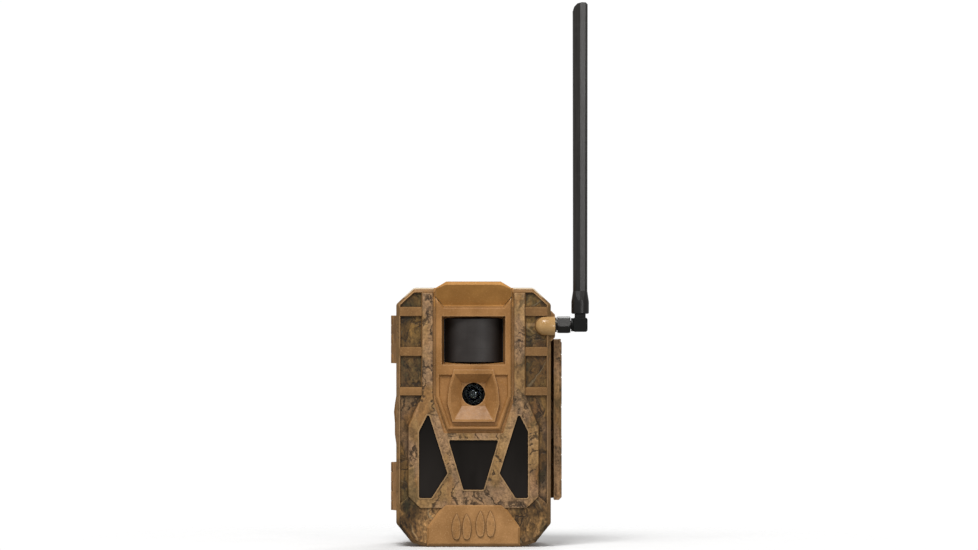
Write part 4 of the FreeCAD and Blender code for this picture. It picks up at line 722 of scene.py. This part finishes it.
def wire_mesh(routes, radius_mm, sides=8):
    """One mesh of round wires along lists of points, with closed ends."""
    points, faces = [], []
    for route in routes:
        first = len(points)
        for i, here in enumerate(route):
            ahead = (route[min(i + 1, len(route) - 1)] - route[max(i - 1, 0)]).normalized()
            across = ahead.orthogonal() if i == 0 else across - ahead * across.dot(ahead)
            across.normalize()
            over = ahead.cross(across)
            for k in range(sides):
                angle = 2 * math.pi * k / sides
                spoke = across * math.cos(angle) + over * math.sin(angle)
                points.append(here + spoke * radius_mm * MM)
        for i in range(len(route) - 1):
            for k in range(sides):
                a, b = first + i * sides + k, first + i * sides + (k + 1) % sides
                faces.append((a, b, b + sides, a + sides))
        faces.append(tuple(first + k for k in reversed(range(sides))))
        faces.append(tuple(first + (len(route) - 1) * sides + k for k in range(sides)))
    mesh = bpy.data.meshes.new("wire")
    mesh.from_pydata(points, [], faces)
    mesh.validate()
    mesh.shade_smooth()
    return mesh


def helix(centre, start_radius, end_radius, start_z, end_z, turns, steps=20):
    """A vertical coil round centre. Radii in millimetres, heights in metres."""
    count = int(turns * steps)
    route = []
    for i in range(count + 1):
        part = i / count
        radius = (start_radius + (end_radius - start_radius) * part) * MM
        angle = 2 * math.pi * turns * part
        x, y = centre.x + radius * math.cos(angle), centre.y + radius * math.sin(angle)
        route.append(Vector((x, y, start_z + (end_z - start_z) * part)))
    return route


def spring_coils(steel):
    """The conical contact springs as real coils, in place of the hollow cones."""
    wire_radius, turns = 0.36, 5.5
    routes = []
    for cone in islands("battery_springs"):
        low, high = min(v.z for v in cone), max(v.z for v in cone)
        centre = sum(cone, Vector()) / len(cone)
        spread = {}
        for end in (low, high):
            spread[end] = max((v - centre).to_2d().length for v in cone if abs(v.z - end) < 0.1 * MM)
        base, tip = (low, high) if spread[low] > spread[high] else (high, low)
        inset = math.copysign(wire_radius * MM, tip - base)
        routes.append(helix(centre, spread[base] / MM - wire_radius, spread[tip] / MM - wire_radius,
                            base + inset, tip - inset, turns))
    coils = new_piece("battery_spring_coils", wire_mesh(routes, wire_radius), "housing", steel)
    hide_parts("battery_springs")


def tripod_thread(brass):
    """The socket's internal thread, a quarter inch at 20 to the inch."""
    pitch, crest = 1.27, 2.6
    low, high = (Vector(corner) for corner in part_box("tripod_insert"))
    centre = (low + high) / 2
    turns = (high.z - low.z) / MM / pitch - 0.6
    route = helix(centre, crest, crest, low.z + 0.3 * MM, high.z - 0.3 * MM, turns, 28)
    new_piece("tripod_thread", wire_mesh([route], 0.28, 6), "housing", brass)


def lens_ring(finish):
    """The threaded retaining ring on the face of the lens barrel."""
    centre = middle("lens_window")
    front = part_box("lens_barrel")[0][1] / MM
    ring = [(5.8, 0.02), (5.7, -0.16), (5.5, -0.2), (5.35, -0.06),
            (5.25, -0.06), (5.1, -0.18), (4.95, -0.18), (4.86, 0.05)]
    mesh = lathe([(radius, front + depth) for radius, depth in ring], centre)
    new_piece("lens_retaining_ring", mesh, "cover", finish)


def flat_mark(name, outlines, y, body, ink):
    """Thin printed shapes on a face that looks along +Y. Outlines are lists of (x, z) in metres."""
    thickness = 0.04 * MM
    points, faces = [], []
    for outline in outlines:
        first, count = len(points), len(outline)
        points += [(x, y, z) for x, z in outline] + [(x, y + thickness, z) for x, z in outline]
        faces.append(tuple(range(first, first + count)))
        faces.append(tuple(range(first + 2 * count - 1, first + count - 1, -1)))
        for i in range(count):
            j = (i + 1) % count
            faces.append((first + i, first + count + i, first + count + j, first + j))
    mesh = bpy.data.meshes.new(name)
    mesh.from_pydata(points, [], faces)
    mesh.validate()
    new_piece(name, mesh, body, ink)


def key_marks(ink):
    """An arrow on each direction key and a dot on the middle one, all plain shapes."""
    size = 1.3 * MM
    turns = {"up": 90, "down": -90, "left": 180, "right": 0}
    for name, degrees in turns.items():
        centre, top = middle("key_" + name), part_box("key_" + name)[1][1]
        angles = [math.radians(degrees + step) for step in (0, 130, -130)]
        outline = [(centre.x + size * math.cos(a), centre.z + size * math.sin(a)) for a in angles]
        flat_mark("key_arrow_" + name, [outline], top, "button_" + name, ink)
    centre, top = middle("key_ok"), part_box("key_ok")[1][1]
    angles = [2 * math.pi * i / 24 for i in range(24)]
    dot = [(centre.x + 0.7 * size * math.cos(a), centre.z + 0.7 * size * math.sin(a)) for a in angles]
    flat_mark("key_dot", [dot], top, "button_ok", ink)


def bar(left, right, foot, head):
    """The outline of an upright rectangle."""
    return [(left, foot), (right, foot), (right, head), (left, head)]


def panel_marks(ink):
    """Three ticks over the mode switch's places, and card outlines beside the card slots."""
    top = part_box("inner_panel")[1][1]
    knob = middle("switch_knob")
    above, width, height, travel, line = (size * MM for size in (3.0, 0.25, 1.3, 4.0, 0.3))
    ticks = []
    for step in (-1, 0, 1):
        x, z = knob.x + step * travel, knob.z + above
        ticks.append(bar(x - width, x + width, z, z + height))
    flat_mark("mode_ticks", ticks, top, "cover", ink)
    for name, node, half, z in (("memory_mark", "sd_card", 2.2 * MM, 44.5 * MM),
                                ("sim_mark", "sim_card", 1.6 * MM, 32.5 * MM)):
        x, tall = middle(node).x, half * 1.2
        left, right, foot, head = x - half, x + half, z - tall, z + tall
        frame_bars = [bar(left, right, foot, foot + line), bar(left, right, head - line, head),
                      bar(left, left + line, foot, head), bar(right - line, right, foot, head)]
        flat_mark(name, frame_bars, top, "cover", ink)


def lathe(profile, centre, segments=64):
    """A mesh turned about the Y axis through centre, from (radius, y) pairs in millimetres."""
    mesh = bpy.data.meshes.new("turned")
    points, faces = [], []
    for radius, y in profile:
        for i in range(segments):
            angle, reach = 2 * math.pi * i / segments, radius * MM
            x, z = centre.x + reach * math.cos(angle), centre.z + reach * math.sin(angle)
            points.append((x, y * MM, z))
    count = len(profile)
    for row in range(count - 1):
        for i in range(segments):
            j = (i + 1) % segments
            low, high = row * segments, (row + 1) * segments
            faces.append((low + i, high + i, high + j, low + j))
    mesh.from_pydata(points, [], faces)
    mesh.validate()
    mesh.shade_smooth()
    return mesh


def dress():
    """Gives every CAD node its finish."""
    black = plain_plastic("black_plastic", (24, 24, 23), 0.42)
    deep_black = plain_plastic("deep_black", (9, 9, 10), 0.4)
    dark_nickel = metal("dark_nickel", (62, 60, 57), 0.3)
    brass = metal("brass", (205, 168, 96), 0.28)
    nickel = metal("nickel", (206, 202, 192), 0.24)
    steel = metal("steel", (170, 168, 164), 0.34)
    glass = clear_glass("optical_glass", (236, 242, 246), 1.12)
    smoked = smoked_window()
    board = circuit_board()
    key_rubber = plain_plastic("key_cap", (150, 148, 142), 0.6)
    white = plain_plastic("marking_ink", (226, 226, 220), 0.6, 0.1)
    dark = plain_plastic("key_ink", (22, 22, 24), 0.6, 0.1)
    housing_tones = (134, 104, 64), (104, 78, 43), (66, 49, 25)
    latch_tones = (158, 122, 80), (144, 110, 70), (118, 89, 55)
    finishes = {
        "front_cover": cover_plastic(),
        "sensor_bezel": tan_plastic(),
        "rear_housing": bark_plastic("housing_camouflage", *housing_tones, -SHELL_HALF - 0.05),
        "tree_bracket": plain_plastic("bracket_brown", (62, 48, 32), 0.62, 0.5, 0.08),
        "latch": bark_plastic("latch_camouflage", *latch_tones),
        "pir_lens": fresnel_lens(),
        "lens_holder": deep_black,
        "lens_barrel": plain_plastic("blackened_barrel", (24, 27, 23), 0.4),
        "antenna_nut": metal("nut_black_nickel", (62, 61, 60), 0.36),
        "antenna_elbow": plain_plastic("elbow_plastic", (4, 5, 3), 0.5, 0.2),
        "antenna_whip": sheath_plastic(),
        "inner_panel": plain_plastic("panel_grey", (58, 58, 60), 0.6, 0.4, 0.06),
        "screen_module": plain_plastic("screen_frame", (36, 36, 38), 0.5),
        "board_switches": plain_plastic("switch_plastic", (46, 46, 48), 0.4),
        "board_chips": plain_plastic("chip_epoxy", (30, 30, 32), 0.38),
        "image_sensor": plain_plastic("sensor_package", (34, 30, 40), 0.2),
        "antenna_pigtail": plain_plastic("coax_jacket", (32, 32, 32), 0.4),
        "sd_card": plain_plastic("card_blue", (24, 38, 84), 0.36),
        "sim_card": plain_plastic("sim_white", (222, 222, 216), 0.4, 0.1),
        "battery_cells": cell_sleeve(),
        "ir_leds": lamp_resin(),
        "screen_glass": screen_face(),
        "housing_gasket": rubber("gasket_rubber", (34, 33, 32)),
        "dc_flap": rubber("flap_rubber", (44, 38, 32)),
        "lens_seal": rubber("seal_rubber", (26, 25, 24)),
        "lens_window": glass,
        "lens_elements": coated_element(),
        "filter_glass": clear_glass("filter_glass", (170, 224, 214)),
    }
    for material, names in (
        (black, "battery_cradle dc_jack filter_shuttle switch_knob"),
        (board, "led_board main_board"),
        (brass, "tripod_insert contact_pins contact_pads antenna_element"),
        (dark_nickel, "sma_jack antenna_ferrule"),
        (nickel, "pir_sensor cell_modem sd_socket sim_tray contact_plates"),
        (steel, "hinge_pins latch_pin antenna_pivot_pin battery_springs"),
        (steel, "housing_screws panel_screws board_screws"),
    ):
        finishes.update({name: material for name in names.split()})
    for material, start in ((smoked, "ir_window"), (key_rubber, "key_")):
        finishes.update({name: material for name in NODES if name.startswith(start)})
    for name, material in finishes.items():
        slots = NODES[name].data.materials
        slots.clear()
        slots.append(material)
    missing = sorted(set(NODES) - set(finishes))
    if missing:
        raise ValueError(f"no finish for {missing}")
    return {"steel": steel, "brass": brass, "deep_black": deep_black, "white": white, "dark": dark}


# ------------------------------------------------------------------ stage
def backdrop():
    """A white dome that only the camera sees, so that it sheds no light on the object."""
    white, black = (1.0, 1.0, 1.0, 1.0), (0.0, 0.0, 0.0, 1.0)
    mesh = bpy.data.meshes.new("dome")
    shape = bmesh.new()
    bmesh.ops.create_icosphere(shape, subdivisions=4, radius=9.0)
    shape.to_mesh(mesh)
    shape.free()
    dome = bpy.data.objects.new("dome", mesh)
    bpy.context.scene.collection.objects.link(dome)
    g = Graph("dome_paint")
    mesh.materials.append(g.set(Base_Color=black, Specular_IOR_Level=0.0,
                                Emission_Color=white, Emission_Strength=1.02))
    dome.visible_diffuse = False
    dome.visible_glossy = False
    dome.visible_transmission = False
    dome.visible_shadow = False


def floor():
    """A pale floor that fades into the backdrop away from the object."""
    mesh = bpy.data.meshes.new("floor")
    half = 6.0
    corners = [(-half, -half, 0), (half, -half, 0), (half, half, 0), (-half, half, 0)]
    mesh.from_pydata(corners, [], [(0, 1, 2, 3)])
    thing = bpy.data.objects.new("floor", mesh)
    bpy.context.scene.collection.objects.link(thing)
    g = Graph("floor_paint")
    x, y, _ = g.xyz()
    fade = g.rise(g.reach(x, y), 330.0, 80.0)
    shade = g.blend(g.noise(g.mm, 0.02), (0.78, 0.78, 0.78, 1.0), (0.82, 0.82, 0.82, 1.0))
    mesh.materials.append(g.set(Base_Color=shade, Roughness=0.9, Specular_IOR_Level=0.0, Alpha=fade))
    thing.visible_diffuse = False
    thing.visible_glossy = False
    thing.visible_shadow = False


def lamps():
    """A dim even sky, a large soft key above and in front, and a soft fill beside the camera."""
    world = bpy.data.worlds.new("studio")
    world.use_nodes = True
    sky = world.node_tree.nodes["Background"].inputs
    sky["Color"].default_value = (1.0, 0.99, 0.98, 1.0)
    sky["Strength"].default_value = 0.36
    bpy.context.scene.world = world

    target = (Vector(CAD_BOX[0]) + Vector(CAD_BOX[1])) / 2
    for name, place, size, power in (
        ("key", (-0.30, -1.05, 1.60), 0.8, 30.0),
        ("fill", (0.9, -1.75, 0.42), 0.5, 6.0),
        ("back", (0.4, 1.3, 1.3), 0.9, 14.0),
    ):
        light = bpy.data.lights.new(name, "AREA")
        light.size = size
        light.energy = power
        lamp = bpy.data.objects.new(name, light)
        lamp.location = place
        lamp.rotation_euler = (target - Vector(place)).to_track_quat("-Z", "Y").to_euler()
        bpy.context.scene.collection.objects.link(lamp)


def camera():
    """A long lens, level, at the object's upper half."""
    picture_width, distance = 0.5477, 3.0
    data = bpy.data.cameras.new("camera")
    data.sensor_width = 36.0
    data.lens = data.sensor_width * distance / picture_width
    thing = bpy.data.objects.new("camera", data)
    thing.location = (0.00868, CAD_BOX[0][1] - distance, 0.1526)
    thing.rotation_euler = (math.radians(90), 0, 0)
    bpy.context.scene.collection.objects.link(thing)
    bpy.context.scene.camera = thing
    bpy.context.scene.view_settings.view_transform = "Standard"


backdrop()
floor()
lamps()
camera()
FINISH = dress()
spring_coils(FINISH["steel"])
tripod_thread(FINISH["brass"])
lens_ring(FINISH["deep_black"])
key_marks(FINISH["dark"])
panel_marks(FINISH["white"])
for softened, radius in (
    ("front_cover", 0.3), ("sensor_bezel", 0.4), ("rear_housing", 0.4),
    ("latch", 0.4), ("antenna_nut", 0.25), ("antenna_elbow", 0.2),
):
    soften(softened, radius)
